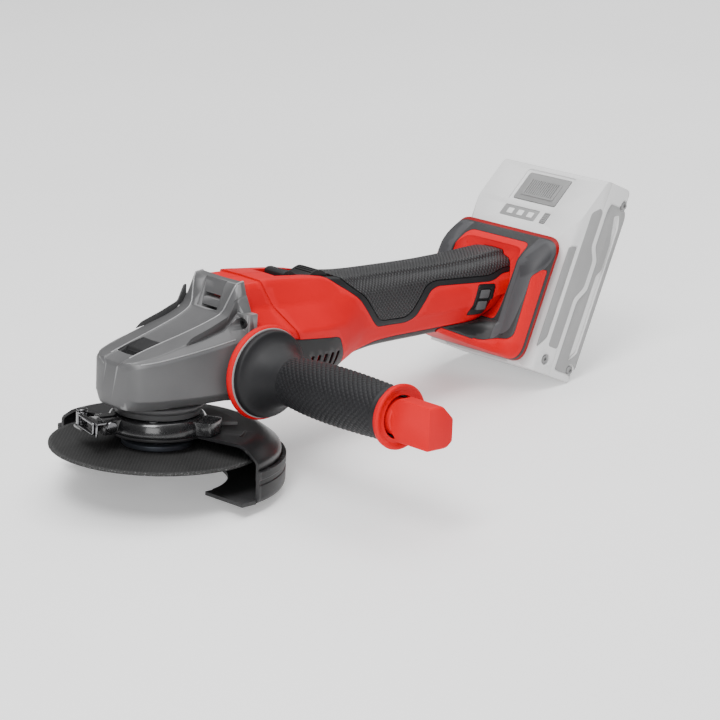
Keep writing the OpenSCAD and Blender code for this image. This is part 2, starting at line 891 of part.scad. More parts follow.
module pack_front_case() {
  color([0.82, 0.82, 0.82]) on_pack() intersection() {
    pack_shell();
    translate([0, -60, 0]) cube([233, 120, 300]);
  }
}

module pack_rear_case() {
  color([0.75, 0.75, 0.75]) on_pack() difference() {
    pack_shell();
    translate([0, -60, 0]) cube([233, 120, 300]);
  }
}

module pack_cells() {
  color("lightgreen") on_pack() for (k = [0:4]) for (w = [227.6, 245.7])
    if (w > 240 || k < 4) translate([w, cell_l / 2, 115.6 + k * pack_pitch]) rotate([90, 0, 0])
      cylinder(r = cell_r, h = cell_l);
}

module pack_screws() {
  color("gray") on_pack() at_pack_screws() cylinder(r = 2.6, h = 1.5);
}

module pack_gauge() {
  color([0.6, 0.6, 0.6]) on_pack() on_nose(190) translate([-3.8, -9.8, -0.9]) cube([7.6, 27.6, 0.9]);
}

module gauge_button() {
  color([0.5, 0.5, 0.5]) on_pack() on_nose(190) translate([-3.7, -18.3, -1.1]) cube([7.4, 4, 1.7]);
}

module pack_latch() {
  color([0.65, 0.65, 0.65]) on_pack() on_nose(207) translate([-9.2, -16.7, -1.3])
    cube([19.2, 33.4, 1.6]);
}

// ---- side handle ----

module handle_core() {
  color([0.5, 0.5, 0.5]) {
    on_handle(22.5) cylinder(r = handle_thread_r - 0.02, h = 12);
    on_handle(32.4) cylinder(r = 7, h = 93.7);
  }
}

module handle_collar() {
  color("red") on_handle(0) difference() {
    union() {
      translate([0, 0, 32.4]) cylinder(r = collar_r, h = 3.6);
      translate([0, 0, 36]) cylinder(r = 23.9, h = 0.6);
    }
    translate([0, 0, 30]) cylinder(r = 7, h = 20);
  }
}

module handle_grip() {
  color([0.15, 0.15, 0.16]) on_handle(0) rotate_extrude() polygon([[7, 36.6], [23.4, 36.6],
    [23.4, 39.4], [21, 41.5], [16.4, 47], [13.4, 53], [12.8, 57], [13.6, 64], [14.8, 80],
    [15.2, 96], [15, 112], [14.4, 126], [14.2, 135.4], [10.4, 135.4], [10.4, 126.1], [7, 126.1]]);
}

module handle_end_ring() {
  color("red") on_handle(135.4) difference() {
    cylinder(r = 17, h = 4.2);
    translate([0, 0, -1]) cylinder(r = 11.4, h = 7);
  }
}

module pin_wrench() {
  color("red") on_handle(0) {
    translate([0, 0, 127]) cylinder(r = 9.6, h = 14.5);
    intersection() {
      translate([0, 0, 140.4]) linear_extrude(27.4) polygon([[-7.9, -10.5], [3.8, -10.5],
        [8.4, -7], [8.4, 4.6], [0.8, 12.2], [-7.9, 12.2]]);
      translate([-10, 0, 0]) rotate([90, 0, 90]) linear_extrude(20) polygon([[-6, 140.4],
        [7.5, 140.4], [12.2, 145], [12.2, 168], [-10.5, 168], [-10.5, 145]]);
    }
  }
}

gear_head();
head_screws();
bearing_cover();
lower_bearing();
upper_bearing();
dust_seal();
bearing_carrier();
front_motor_bearing();
housing_left();
housing_right();
housing_screws();
vent_panels();
grip_overmould();
grip_strip();
foot_frame();
foot_panels();
foot_rim();
pack_receiver();
terminal_block();
stator_core();
stator_windings();
sensor_board();
rear_motor_bearing();
motor_end_bracket();
control_board();
switch_module();
button_bezel();
spindle();
crown_gear();
inner_flange();
cutting_disc();
flange_nut();
motor_shaft();
rotor_core();
pinion();
cooling_fan();
guard_shell();
guard_band();
guard_tab();
clamp_bolt();
clamp_lever();
cutting_cover();
lock_button();
lock_pin();
lock_spring();
slide_switch();
upper_button();
lower_button();
pack_front_case();
pack_rear_case();
pack_cells();
pack_screws();
pack_gauge();
gauge_button();
pack_latch();
handle_core();
handle_collar();
handle_grip();
handle_end_ring();
pin_wrench();
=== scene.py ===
import bmesh
import bpy
import math
import numpy as np
from mathutils import Matrix, Vector


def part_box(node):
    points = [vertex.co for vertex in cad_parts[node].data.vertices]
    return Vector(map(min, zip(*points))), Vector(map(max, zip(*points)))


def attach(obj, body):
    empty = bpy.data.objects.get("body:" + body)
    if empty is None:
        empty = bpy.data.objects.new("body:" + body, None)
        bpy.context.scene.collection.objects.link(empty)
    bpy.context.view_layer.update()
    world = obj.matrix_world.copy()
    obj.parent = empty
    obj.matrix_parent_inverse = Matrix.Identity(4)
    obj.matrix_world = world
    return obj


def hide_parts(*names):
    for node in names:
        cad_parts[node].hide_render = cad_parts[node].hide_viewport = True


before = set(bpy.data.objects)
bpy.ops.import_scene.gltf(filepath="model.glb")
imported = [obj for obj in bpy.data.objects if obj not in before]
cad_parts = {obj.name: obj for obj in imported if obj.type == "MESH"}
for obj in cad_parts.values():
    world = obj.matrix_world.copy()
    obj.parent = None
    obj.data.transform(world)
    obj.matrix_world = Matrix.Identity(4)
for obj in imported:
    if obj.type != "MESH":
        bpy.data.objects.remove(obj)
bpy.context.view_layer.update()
MM = 0.001
LEAN = math.radians(22)     # foot and pack lean back by this
MOTOR_Z = 47
HANDLE_X, HANDLE_Z = 43.9, 40.2
CLAMP_A = math.radians(166)  # direction of the clamp from the spindle
GAP = 0.25                  # drawn between neighbouring skins
BAND_R = 21.06              # bore of the guard's band
SEAT_R = 6.72               # bores of the flange and the nut
SIDES = ((-1, "right"), (1, "left"))


# ---- mesh tools

def link(name, me):
    ob = bpy.data.objects.new(name, me)
    bpy.context.scene.collection.objects.link(ob)
    return ob


def solid(name, verts, faces, where=None):
    co = np.array(verts, float).reshape(-1, 3) * MM
    me = bpy.data.meshes.new(name)
    me.from_pydata([tuple(v) for v in co], [], [tuple(f) for f in faces])
    if where is not None:
        me.transform(where)
    me.validate()
    me.update()
    return link(name, me)


def move(x, y, z):
    return Matrix.Translation(Vector((x, y, z)) * MM)


def turn(angle, axis):
    return Matrix.Rotation(angle, 4, axis)


PACK = turn(LEAN, "Y")
HANDLE = move(HANDLE_X, 0, HANDLE_Z) @ turn(math.pi / 2, "X")
CLAMP = turn(CLAMP_A, "Z")


def motor(x):
    return move(x, 0, MOTOR_Z) @ turn(math.pi / 2, "Y")


def apply(ob):
    graph = bpy.context.evaluated_depsgraph_get()
    me = bpy.data.meshes.new_from_object(ob.evaluated_get(graph))
    old = ob.data
    ob.modifiers.clear()
    ob.data = me
    bpy.data.meshes.remove(old)
    return ob


def boolean(ob, tool, how="DIFFERENCE", solver="MANIFOLD"):
    """Cuts ob with the tool or joins them, and uses the tool up."""
    m = ob.modifiers.new("cut", "BOOLEAN")
    m.object, m.operation, m.solver = tool, how, solver
    apply(ob)
    bpy.data.objects.remove(tool)
    return ob


def minus(ob, *tools):
    for t in tools:
        boolean(ob, t)
    return ob


def plus(ob, *tools):
    for t in tools:
        boolean(ob, t, "UNION")
    return ob


def common(ob, tool):
    return boolean(ob, tool, "INTERSECT")


def copy(ob):
    return link(ob.name + "_copy", ob.data.copy())


def bevelled(ob, width, angle=35, segments=2):
    m = ob.modifiers.new("edge", "BEVEL")
    m.width, m.segments, m.limit_method = width * MM, segments, "ANGLE"
    m.angle_limit = math.radians(angle)
    m.use_clamp_overlap = True
    return apply(ob)


def smooth(ob, angle=35):
    me = ob.data
    me.polygons.foreach_set("use_smooth", [True] * len(me.polygons))
    me.set_sharp_from_angle(angle=math.radians(angle))
    return ob


def merge(name, obs):
    verts, faces, n = [], [], 0
    for ob in obs:
        co = np.array([v.co for v in ob.data.vertices], float).reshape(-1, 3) / MM
        verts.extend(co.tolist())
        faces.extend([[i + n for i in p.vertices] for p in ob.data.polygons])
        n += len(co)
        bpy.data.objects.remove(ob)
    return solid(name, verts, faces)


def arc_corners(points, n=4):
    """Open line of (a, b, setback) corners with each inner corner rounded."""
    out = [tuple(points[0][:2])]
    for p, q, s in zip(points, points[1:], points[2:]):
        P, Q, S = (np.array(k[:2], float) for k in (p, q, s))
        u, v = P - Q, S - Q
        lu, lv = np.linalg.norm(u), np.linalg.norm(v)
        d = min(q[2], 0.48 * lu, 0.48 * lv)
        A, B = Q + u / lu * d, Q + v / lv * d
        for k in range(n + 1):
            t = k / n
            out.append(tuple((1 - t) ** 2 * A + 2 * t * (1 - t) * Q + t * t * B))
    out.append(tuple(points[-1][:2]))
    return out


def rounded(points, r, n=4):
    """Closed outline with every corner rounded by setback r, or each by its own third value."""
    pts = [tuple(p) if len(p) > 2 else (p[0], p[1], r) for p in points]
    pts = [p for k, p in enumerate(pts) if math.dist(p[:2], pts[k - 1][:2]) > 1e-6]
    line = arc_corners([pts[-1], *pts, pts[0]], n)
    return line[1:-1]


def prism(outline, low, high, axes="xz", where=None, name="tool"):
    """Outline extruded from low to high: axes xz runs along Y, yz along X, xy along Z."""
    n = len(outline)
    order = {"xz": (0, 2, 1), "yz": (1, 2, 0), "xy": (0, 1, 2)}[axes]
    verts = []
    for d in (low, high):
        for a, b in outline:
            p = [0, 0, 0]
            p[order[0]], p[order[1]], p[order[2]] = a, b, d
            verts.append(p)
    faces = [[i, (i + 1) % n, n + (i + 1) % n, n + i] for i in range(n)]
    faces += [list(range(n))[::-1], list(range(n, 2 * n))]
    return fix(solid(name, verts, faces, where))


def fix(ob):
    """Turns every face outwards."""
    bm = bmesh.new()
    bm.from_mesh(ob.data)
    bmesh.ops.recalc_face_normals(bm, faces=bm.faces)
    bm.to_mesh(ob.data)
    bm.free()
    return ob


def block(x0, x1, y0, y1, z0, z1, where=None):
    return prism([(x0, z0), (x1, z0), (x1, z1), (x0, z1)], y0, y1, "xz", where)


def plate(x0, x1, y0, y1, z0, z1, r=0, n=4, where=None):
    """Flat plate across Z, with rounded corners if r is given."""
    outline = [(x0, y0), (x1, y0), (x1, y1), (x0, y1)]
    return prism(rounded(outline, r, n) if r else outline, z0, z1, "xy", where)


def beside(side, a, b):
    """Distances a and b from the middle plane on one side, lower one first."""
    return sorted((side * a, side * b))


def loft(rings, name="loft", where=None):
    n, m = len(rings[0]), len(rings)
    verts = [p for r in rings for p in r]
    faces = [[k * n + i, k * n + (i + 1) % n, (k + 1) * n + (i + 1) % n, (k + 1) * n + i]
        for k in range(m - 1) for i in range(n)]
    faces += [list(range(n)), list(range((m - 1) * n, m * n))[::-1]]
    return fix(solid(name, verts, faces, where))


def revolve(profile, name="turned", where=None, steps=96, start=0, span=360, n=3, wave=None):
    """Closed profile of (radius, height[, setback]) turned about Z."""
    line = rounded(profile, 0, n) if any(len(p) > 2 for p in profile) else profile
    full = span >= 359.9
    count = steps if full else steps + 1
    k = len(line)
    verts = []
    for j in range(count):
        a = math.radians(start + span * j / steps)
        for q, z in line:
            q = q if wave is None else wave(q, z, a)
            verts.append((q * math.cos(a), q * math.sin(a), z))
    faces = []
    for j in range(count if full else count - 1):
        for i in range(k):
            a, b = j * k, ((j + 1) % count) * k
            faces.append([a + i, a + (i + 1) % k, b + (i + 1) % k, b + i])
    if not full:
        faces += [list(range(k)), list(range((count - 1) * k, count * k))[::-1]]
    return fix(solid(name, verts, faces, where))


def rod(r, z0, z1, where=None, steps=48, c=0, name="rod"):
    c = min(c, r * 0.5, (z1 - z0) * 0.4)
    zs = [(r - c, z0), (r, z0 + c), (r, z1 - c), (r - c, z1)] if c else [(r, z0), (r, z1)]
    verts, faces = [], []
    for q, z in zs:
        verts += [(q * math.cos(2 * math.pi * j / steps), q * math.sin(2 * math.pi * j / steps), z)
            for j in range(steps)]
    for k in range(len(zs) - 1):
        faces += [[k * steps + j, k * steps + (j + 1) % steps, (k + 1) * steps + (j + 1) % steps,
            (k + 1) * steps + j] for j in range(steps)]
    faces += [list(range(steps))[::-1], list(range((len(zs) - 1) * steps, len(zs) * steps))]
    return fix(solid(name, verts, faces, where))


def through(xs, ys, x):
    """Smooth monotone curve through a table."""
    xs, ys = np.array(xs, float), np.array(ys, float)
    h, d = np.diff(xs), np.diff(ys) / np.diff(xs)
    m = np.zeros(len(xs))
    for i in range(1, len(xs) - 1):
        if d[i - 1] * d[i] > 0:
            w1, w2 = 2 * h[i] + h[i - 1], h[i] + 2 * h[i - 1]
            m[i] = (w1 + w2) / (w1 / d[i - 1] + w2 / d[i])
    m[0], m[-1] = d[0], d[-1]
    i = int(np.clip(np.searchsorted(xs, x) - 1, 0, len(xs) - 2))
    t = (x - xs[i]) / h[i]
    return float((1 + 2 * t) * (1 - t) ** 2 * ys[i] + t * (1 - t) ** 2 * h[i] * m[i] + t * t *
        (3 - 2 * t) * ys[i + 1] + t * t * (t - 1) * h[i] * m[i + 1])


def row_at(table, x):
    xs = [r[0] for r in table]
    return [through(xs, [r[k] for r in table], x) for k in range(1, len(table[0]))]


def both(half):
    """Whole ring from a half outline that starts and ends on the middle plane."""
    return list(half) + [(-a, b) for a, b in half[-2:0:-1]]


# ---- materials

def nodes_of(name):
    mat = bpy.data.materials.new(name)
    mat.use_nodes = True
    t = mat.node_tree
    return mat, t, t.nodes["Principled BSDF"], t.nodes.new("ShaderNodeTexCoord").outputs["Object"]


def add(t, kind, values=None, **props):
    n = t.nodes.new(kind)
    for k, v in props.items():
        setattr(n, k, v)
    for k, v in (values or {}).items():
        if hasattr(v, "is_output"):
            t.links.new(v, n.inputs[k])
        else:
            n.inputs[k].default_value = v
    return n


def constants(node, values):
    for k, v in values.items():
        node.inputs[k].default_value = v


def mix(t, fac, a, b):
    """Colour a blended towards the fixed colour b."""
    m = add(t, "ShaderNodeMix", {"Factor": fac}, data_type="RGBA")
    t.links.new(a, m.inputs["A"])
    m.inputs["B"].default_value = (*b, 1)
    return m.outputs["Result"]


def calc(t, op, a, b=0, c=0, clamp=False):
    n = t.nodes.new("ShaderNodeMath")
    n.operation, n.use_clamp = op, clamp
    for i, v in enumerate((a, b, c)):
        if hasattr(v, "is_output"):
            t.links.new(v, n.inputs[i])
        else:
            n.inputs[i].default_value = v
    return n.outputs[0]


def noise(t, co, scale, detail=3, rough=0.55):
    return add(t, "ShaderNodeTexNoise", {"Vector": co, "Scale": scale, "Detail": detail,
        "Roughness": rough}).outputs["Fac"]


def ramp(t, fac, stops):
    n = t.nodes.new("ShaderNodeValToRGB")
    t.links.new(fac, n.inputs["Fac"])
    e = n.color_ramp.elements
    while len(e) < len(stops):
        e.new(0.5)
    for k, (pos, col) in enumerate(stops):
        e[k].position = pos
        e[k].color = (*col, 1) if len(col) == 3 else col
    return n.outputs["Color"]


def level(t, fac, a, b, c, d):
    return add(t, "ShaderNodeMapRange", {"Value": fac, "From Min": a, "From Max": b, "To Min": c,
        "To Max": d}).outputs["Result"]


def bump(t, height, strength, distance, after=None):
    values = {"Height": height, "Strength": strength, "Distance": distance}
    if after is not None:
        values["Normal"] = after
    return add(t, "ShaderNodeBump", values).outputs["Normal"]


def finish(name, low, high, rough=(0.35, 0.45), metal=0, grain=2600, grain_h=0.00004, grain_s=0.25,
        coat=0, coat_rough=0.1, spec=0.5, edge=0, pattern=None):
    """Coloured between low and high by slow and fast noise, with grain in its bump and gloss."""
    mat, t, b, co = nodes_of(name)
    slow, fast = noise(t, co, 22, 4), noise(t, co, grain, 2, 0.6)
    mixed = calc(t, "ADD", calc(t, "MULTIPLY", slow, 0.75), calc(t, "MULTIPLY", fast, 0.25))
    colour = ramp(t, mixed, [(0.35, low), (0.65, high)])
    normal = bump(t, fast, grain_s, grain_h)
    roughness = level(t, calc(t, "ADD", slow, fast), 0.6, 1.4, *rough)
    # lighter colour on sharp convex edges, found by pointiness: a painted highlight where the
    # edges catch the light
    if edge:
        geo = t.nodes.new("ShaderNodeNewGeometry").outputs["Pointiness"]
        edge_highlight = level(t, geo, 0.52, 0.60, 0, edge)
        colour = mix(t, edge_highlight, colour, [min(1, c * 1.8 + 0.05) for c in high])
    if pattern is not None:
        colour, roughness, normal = pattern(t, co, colour, roughness, normal)
    t.links.new(colour, b.inputs["Base Color"])
    t.links.new(roughness, b.inputs["Roughness"])
    t.links.new(normal, b.inputs["Normal"])
    constants(b, {"Metallic": metal, "Specular IOR Level": spec, "Coat Weight": coat,
        "Coat Roughness": coat_rough})
    return mat


def cell_pattern(pitch, depth, glint=0.35):
    """Small raised cells of a moulded grip, in rows wrapped round the body, with a painted glint
    on their tops.
    """
    def use(t, co, colour, roughness, normal):
        sep = add(t, "ShaderNodeSeparateXYZ", {"Vector": co})
        angle = calc(t, "ARCTAN2", sep.outputs["Y"], calc(t, "SUBTRACT", sep.outputs["Z"], 0.052))
        u = calc(t, "MULTIPLY", sep.outputs["X"], 1 / pitch)
        w = calc(t, "MULTIPLY", angle, 0.021 / pitch)
        both_ways = add(t, "ShaderNodeCombineXYZ",
            {"X": calc(t, "ADD", u, w), "Y": calc(t, "SUBTRACT", u, w)})
        v = add(t, "ShaderNodeTexVoronoi", {"Vector": both_ways.outputs["Vector"], "Scale": 0.8,
            "Randomness": 0}, feature="F1", voronoi_dimensions="2D")
        h = level(t, v.outputs["Distance"], 0.2, 0.5, 1, 0)
        # cell tops mixed towards lighter grey: painted glints on the raised cells
        raised = mix(t, calc(t, "MULTIPLY", h, glint), colour, (0.075, 0.075, 0.078))
        return raised, roughness, bump(t, h, 0.9, depth, normal)
    return use


def weave_pattern(t, co, colour, roughness, normal):
    """Glass mesh under a resin and grit coat."""
    sep = add(t, "ShaderNodeSeparateXYZ", {"Vector": co})
    x, y = sep.outputs["X"], sep.outputs["Y"]
    a = calc(t, "SINE", calc(t, "MULTIPLY", calc(t, "ADD", x, y), 2600))
    c = calc(t, "SINE", calc(t, "MULTIPLY", calc(t, "SUBTRACT", x, y), 2600))
    h = calc(t, "ADD", calc(t, "MULTIPLY", a, 0.5), calc(t, "MULTIPLY", c, 0.5))
    grit = noise(t, co, 1500, 2, 0.7)
    mesh = level(t, calc(t, "ADD", h, calc(t, "MULTIPLY", grit, 1.4)), 0.3, 1.6, 0, 1)
    spark = level(t, grit, 0.60, 0.72, 0, 1)
    radius = calc(t, "SQRT", calc(t, "ADD", calc(t, "MULTIPLY", x, x), calc(t, "MULTIPLY", y, y)))
    rim = level(t, radius, 0.0545, 0.0572, 0, 0.65)
    colour = mix(t, calc(t, "MULTIPLY", mesh, 0.55), colour, (0.045, 0.045, 0.045))
    colour = mix(t, calc(t, "MULTIPLY", rim, spark), colour, (0.42, 0.42, 0.42))
    colour = mix(t, calc(t, "MULTIPLY", rim, 0.22), colour, (0.12, 0.12, 0.12))
    return colour, roughness, bump(t, mesh, 0.8, 0.00025, normal)


def brushed_pattern(t, co, colour, roughness, normal):
    """Fine turning lines."""
    long = add(t, "ShaderNodeMapping", {"Vector": co, "Scale": (1, 1, 60)})
    lines = add(t, "ShaderNodeTexNoise", {"Vector": long.outputs["Vector"], "Scale": 90,
        "Detail": 3}).outputs["Fac"]
    return colour, level(t, lines, 0.3, 0.7, 0.22, 0.42), bump(t, lines, 0.15, 0.00003, normal)


RED = finish("red_nylon", (0.54, 0.001, 0.006), (0.62, 0.0015, 0.008), (0.42, 0.52), grain=3200,
    grain_h=0.00003, edge=0.10, spec=0.1)
BLACK = finish("black_nylon", (0.007, 0.007, 0.0075), (0.012, 0.012, 0.013), (0.36, 0.5),
    grain=2800, grain_h=0.00005, grain_s=0.4, edge=0.35, spec=0.25)
# dark grey textured nylon, made lighter as a painted highlight on the flare
CHARCOAL_AND_HIGHLIGHT = finish("charcoal_nylon_and_painted_highlight", (0.034, 0.034, 0.037), (0.050, 0.050, 0.054), (0.45, 0.6),
    grain=2200, grain_h=0.00008, grain_s=0.6, edge=0.2, spec=0.3)
RUBBER = finish("grip_rubber", (0.008, 0.008, 0.009), (0.014, 0.014, 0.0155), (0.45, 0.58),
    grain=3000, grain_s=0.3, spec=0.25)
CELLS = finish("grip_rubber_cells", (0.008, 0.008, 0.009), (0.014, 0.014, 0.015), (0.38, 0.5),
    grain=3000, grain_s=0.2, spec=0.35, pattern=cell_pattern(0.0019, 0.0004))
PAINT = finish("grey_metallic_paint", (0.085, 0.085, 0.087), (0.112, 0.112, 0.114), (0.40, 0.50),
    metal=0.15, spec=0.35, grain=4200, grain_h=0.00003, grain_s=0.45, coat=0.12, coat_rough=0.3,
    edge=0.8)
# light grey for the ridge lines: a painted highlight on the casting's edges
RIDGE_HIGHLIGHT = finish("worn_ridge_paint", (0.24, 0.24, 0.245), (0.32, 0.32, 0.325), (0.3, 0.4), metal=0.3,
    grain=4200, grain_h=0.00003, grain_s=0.3, spec=0.5)
# darker grey: paint of the bearing cover, and painted shade on the flank pocket floors
DARK_PAINT_AND_SHADE = finish("dark_grey_paint_and_painted_shade", (0.045, 0.045, 0.046), (0.062, 0.062, 0.064),
    (0.38, 0.48), metal=0.15, grain=4200, grain_h=0.00003, grain_s=0.45, spec=0.3, edge=0.5)
GLOSS_BLACK = finish("black_enamel", (0.006, 0.006, 0.0065), (0.011, 0.011, 0.012), (0.2, 0.3),
    grain=1500, grain_h=0.00003, grain_s=0.15, coat=0.35, coat_rough=0.12, edge=0.2)
SATIN_BLACK = finish("satin_black_paint", (0.007, 0.007, 0.0075), (0.012, 0.012, 0.013),
    (0.28, 0.38), grain=2200, grain_h=0.00004, grain_s=0.3, edge=0.4, spec=0.35)
STEEL = finish("machined_steel", (0.40, 0.40, 0.41), (0.56, 0.56, 0.57), (0.25, 0.4), metal=1,
    grain=1500, pattern=brushed_pattern)
BLACK_CHROME = finish("black_nickel", (0.10, 0.10, 0.105), (0.20, 0.20, 0.205), (0.12, 0.22),
    metal=1, grain=900, edge=0.6)
DARK_STEEL = finish("black_oxide_steel", (0.03, 0.03, 0.032), (0.055, 0.055, 0.058), (0.3, 0.42),
    metal=0.8, grain=1500, edge=0.3)
BLUED = finish("blued_flange_steel", (0.055, 0.062, 0.075), (0.085, 0.095, 0.115), (0.35, 0.48),
    metal=0.65, grain=1200, grain_s=0.4, edge=0.5)
ABRASIVE = finish("abrasive_disc", (0.014, 0.014, 0.014), (0.028, 0.028, 0.028), (0.65, 0.8),
    grain=1800, grain_h=0.0001, grain_s=0.5, spec=0.12, pattern=weave_pattern)
LAMINATED = finish("stacked_sheets", (0.2, 0.2, 0.2), (0.32, 0.32, 0.32), (0.35, 0.5), metal=0.9,
    grain=900, pattern=brushed_pattern)
COPPER = finish("enamelled_copper", (0.35, 0.11, 0.03), (0.55, 0.2, 0.06), (0.25, 0.4), metal=0.9,
    grain=1300, grain_h=0.0002, grain_s=0.6)
BOARD = finish("circuit_board", (0.008, 0.10, 0.03), (0.015, 0.16, 0.05), (0.3, 0.45), grain=700)
BRASS = finish("plated_contact", (0.6, 0.42, 0.14), (0.75, 0.55, 0.22), (0.2, 0.35), metal=1,
    grain=1200)
SLEEVE = finish("cell_sleeve", (0.05, 0.22, 0.12), (0.07, 0.3, 0.16), (0.25, 0.35), grain=600)
PALE = finish("pale_grey_nylon", (0.66, 0.66, 0.66), (0.74, 0.74, 0.74), (0.45, 0.6), grain=2400,
    grain_s=0.2)
PALE_MID = finish("mid_grey_nylon", (0.27, 0.27, 0.27), (0.33, 0.33, 0.33), (0.45, 0.6),
    grain=2400, grain_s=0.3)
PALE_DARK = finish("shade_grey_nylon", (0.22, 0.22, 0.22), (0.28, 0.28, 0.28), (0.4, 0.55),
    grain=2400, grain_s=0.25)
PALE_LED = finish("gauge_lens", (0.72, 0.72, 0.72), (0.8, 0.8, 0.8), (0.15, 0.25), grain=900,
    grain_s=0.1, coat=0.5)
BUTTON = finish("button_rubber", (0.05, 0.05, 0.052), (0.11, 0.11, 0.113), (0.45, 0.55),
    grain=1300, grain_s=0.5, spec=0.3)
GREY_COAT = finish("matt_grey_coat", (0.10, 0.10, 0.102), (0.14, 0.14, 0.142), (0.6, 0.75),
    grain=3600, grain_h=0.00008, grain_s=0.7)
# darker copy of the red nylon: painted shade for the rim of the foot
RED_PAINTED_SHADE = finish("red_nylon_painted_shade", (0.24, 0.001, 0.0025), (0.30, 0.0015, 0.003), (0.38, 0.5),
    grain=3200, spec=0.2)


def piece(ob, body, mat, replaces=(), bevel=0, angle=35, shade=35, name=None, segments=2):
    if name:
        ob.name = name
        ob.data.name = name
    if bevel:
        bevelled(ob, bevel, angle, segments)
    smooth(ob, shade)
    ob.data.materials.clear()
    ob.data.materials.append(mat)
    if replaces:
        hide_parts(*replaces)
    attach(ob, body)
    return ob


# ---- gear head

HEAD = [  # x, half width, bottom, wall top, pocket half width, height, ridge half width, height
    (-31.5, 7.5, 26.4, 45, 6.2, 47.4, 5, 47.8),
    (-30.6, 13, 25.2, 47, 10.2, 49.8, 7.6, 50.2),
    (-28.6, 16.6, 24.7, 48.2, 13.2, 50.8, 7.5, 51),
    (-26, 18.9, 24.5, 48.8, 15.2, 51.4, 7.5, 51.8),
    (-18, 22.8, 24.5, 50, 18, 53, 7.8, 54.2),
    (-6, 26, 24.5, 52, 20, 56, 8.6, 57.4),
    (10, 28.4, 24.5, 54.4, 21, 60, 9.8, 61.6),
    (24, 29.6, 24.5, 56.6, 21, 64, 11, 66),
    (31, 30.1, 24, 57.6, 20.5, 68, 12.5, 69.5),
    (37.5, 30.5, 23, 58.8, 19.5, 78, 17, 85.4),
    (42.1, 30.5, 22.5, 59.4, 19.5, 79, 16.5, 86.2)]


def head_ring(x):
    w, zb, zc, wc, zs, wr, zr = row_at(HEAD, x)
    half = arc_corners([(0, zb), (w * 0.78, zb, 2), (w - 0.9, zb + 5.2, 0.5), (w, zb + 6.4, 0.5),
        (w, zc, 0.5), (w - 1.7, zc + 2, 0.5), (wc + 0.7, zs - 0.4, 0.4), (wc, zs + 0.4, 0.4),
        (wr + 0.9, zr, 0.35), (wr, zr + 0.25, 0.3), (wr - 0.9, zr - 0.35, 0.35), (0, zr - 0.7)], 2)
    return [(x, a, b) for a, b in both(half)]


def head_body():
    xs = [-31.5, -31.2, -30.9, -30.6, -30, -29.3, -28.6, -27.4, -26, -24, -21.5, -18]
    xs += list(np.arange(-15, 31, 3)) + [31, 32.6, 34.2, 35.9, 37.5, 39.8, 42.1]
    return loft([head_ring(x) for x in xs], "gear_head_casting")


BODY = [  # x, half width, bottom, side bottom, side top, shoulder, top half width, top, roundness
    (41, 30.4, 22.4, 47, 60, 20, 16.5, 86, 1.8),
    (56, 31, 22.5, 47, 59.5, 20, 16.5, 85.6, 1.8),
    (64, 32, 22.5, 47, 58.5, 21.5, 16, 85, 1.8),
    (92, 31.5, 23, 47, 57.5, 21.5, 15, 82.4, 2),
    (106, 28.5, 25, 46, 56.5, 21, 14, 80, 2.6),
    (117, 24.5, 28.5, 48, 57, 20.5, 13, 78.6, 4),
    (130, 21, 32.5, 50, 58, 18.6, 10.5, 77.8, 6),
    (150, 19.8, 34.4, 51, 59, 17.2, 9.5, 77.4, 7),
    (185, 19.8, 35, 51, 60, 17, 9.5, 77, 7),
    (215, 20.8, 36, 52, 61, 17, 10, 77.6, 7),
    (232, 20.8, 41.5, 55, 62, 16.8, 9.3, 78.9, 8),
    (240, 20.4, 45, 56, 61.5, 16.6, 9, 79.3, 9),
    (246, 18.8, 50, 58, 62.5, 15.2, 8, 78.6, 9),
    (251, 14.6, 55, 61, 63.5, 11.6, 6, 76.4, 6),
    (254, 9, 59, 63.5, 64.5, 7, 3.4, 73.2, 3)]


def body_ring(x, t=0):
    w, zb, zw, zs, ws, wt, zt, r = row_at(BODY, x)
    half = arc_corners([(0, zb), (w * 0.42, zb + 0.6, 6), (w * 0.74, zb + 5, 6),
        (w * 0.94, zb + 14, 6), (w, zw, 7), (w, zs, r), (ws, zs + 12, r), (wt + 1.5, zt - 3, 1.8),
        (wt, zt - 0.4, 1.2), (0, zt)], 4)
    if t:
        c, h = (zb + zt) / 2, (zt - zb) / 2
        half = [(a * (w - t) / w, c + (b - c) * (h - t) / h) for a, b in half]
    return [(x, a, b) for a, b in both(half)]


def body_loft(t=0, x0=41, x1=253.6, name="body"):
    x1 -= 1.5 * t if x1 > 250 else 0
    xs = list(np.arange(x0, min(x1, 236), 3)) + (list(np.linspace(236, x1, 9)) if x1 > 236.5
        else [x1])
    return loft([body_ring(float(x), t) for x in xs], name)


FLANGE_EDGE = [(30, 18), (57, 18), (57, 51), (50, 56), (41, 61.3), (30, 61.3)]
RUBBER_EDGE = [(97, 95, 0.1), (97.6, 83.6, 2), (107, 78.1, 2), (117.5, 71.2, 4), (124.2, 66.1, 3),
    (134.4, 52.1, 3), (138.3, 48.9, 2.5), (161.2, 48.2, 3), (166.9, 50.6, 3), (179.5, 64.6, 3.5),
    (185.3, 66.1, 2), (227.3, 64, 5), (236, 67.5, 3), (262, 67.5, 0.1), (262, 95, 0.1)]
CELL_EDGE = [(112, 95, 0.1), (113, 80, 2), (121, 73, 3), (128.5, 67.5, 3), (138, 54, 3),
    (141.5, 52.4, 2), (158.5, 51.8, 3), (163.6, 54, 3), (176.5, 68, 3.5), (184, 69.4, 2),
    (226, 67.5, 5), (236, 70.5, 3), (262, 70.5, 0.1), (262, 95, 0.1)]
VENT_EDGE = [(60, 12, 0.1), (112.5, 12, 0.1), (111, 33, 1), (101.5, 50.3, 2), (98, 51.4, 1.5),
    (60, 54.8, 0.1)]
STRIP_EDGE = [(112.2, 12, 0.1), (112.2, 31, 0.5), (117, 31.8, 2), (131, 37.5, 4), (141, 39.9, 3),
    (157, 40.8, 2), (214, 41.2, 0.1), (233, 41.6, 0.1), (240, 20, 0.1), (233, 12, 0.1)]


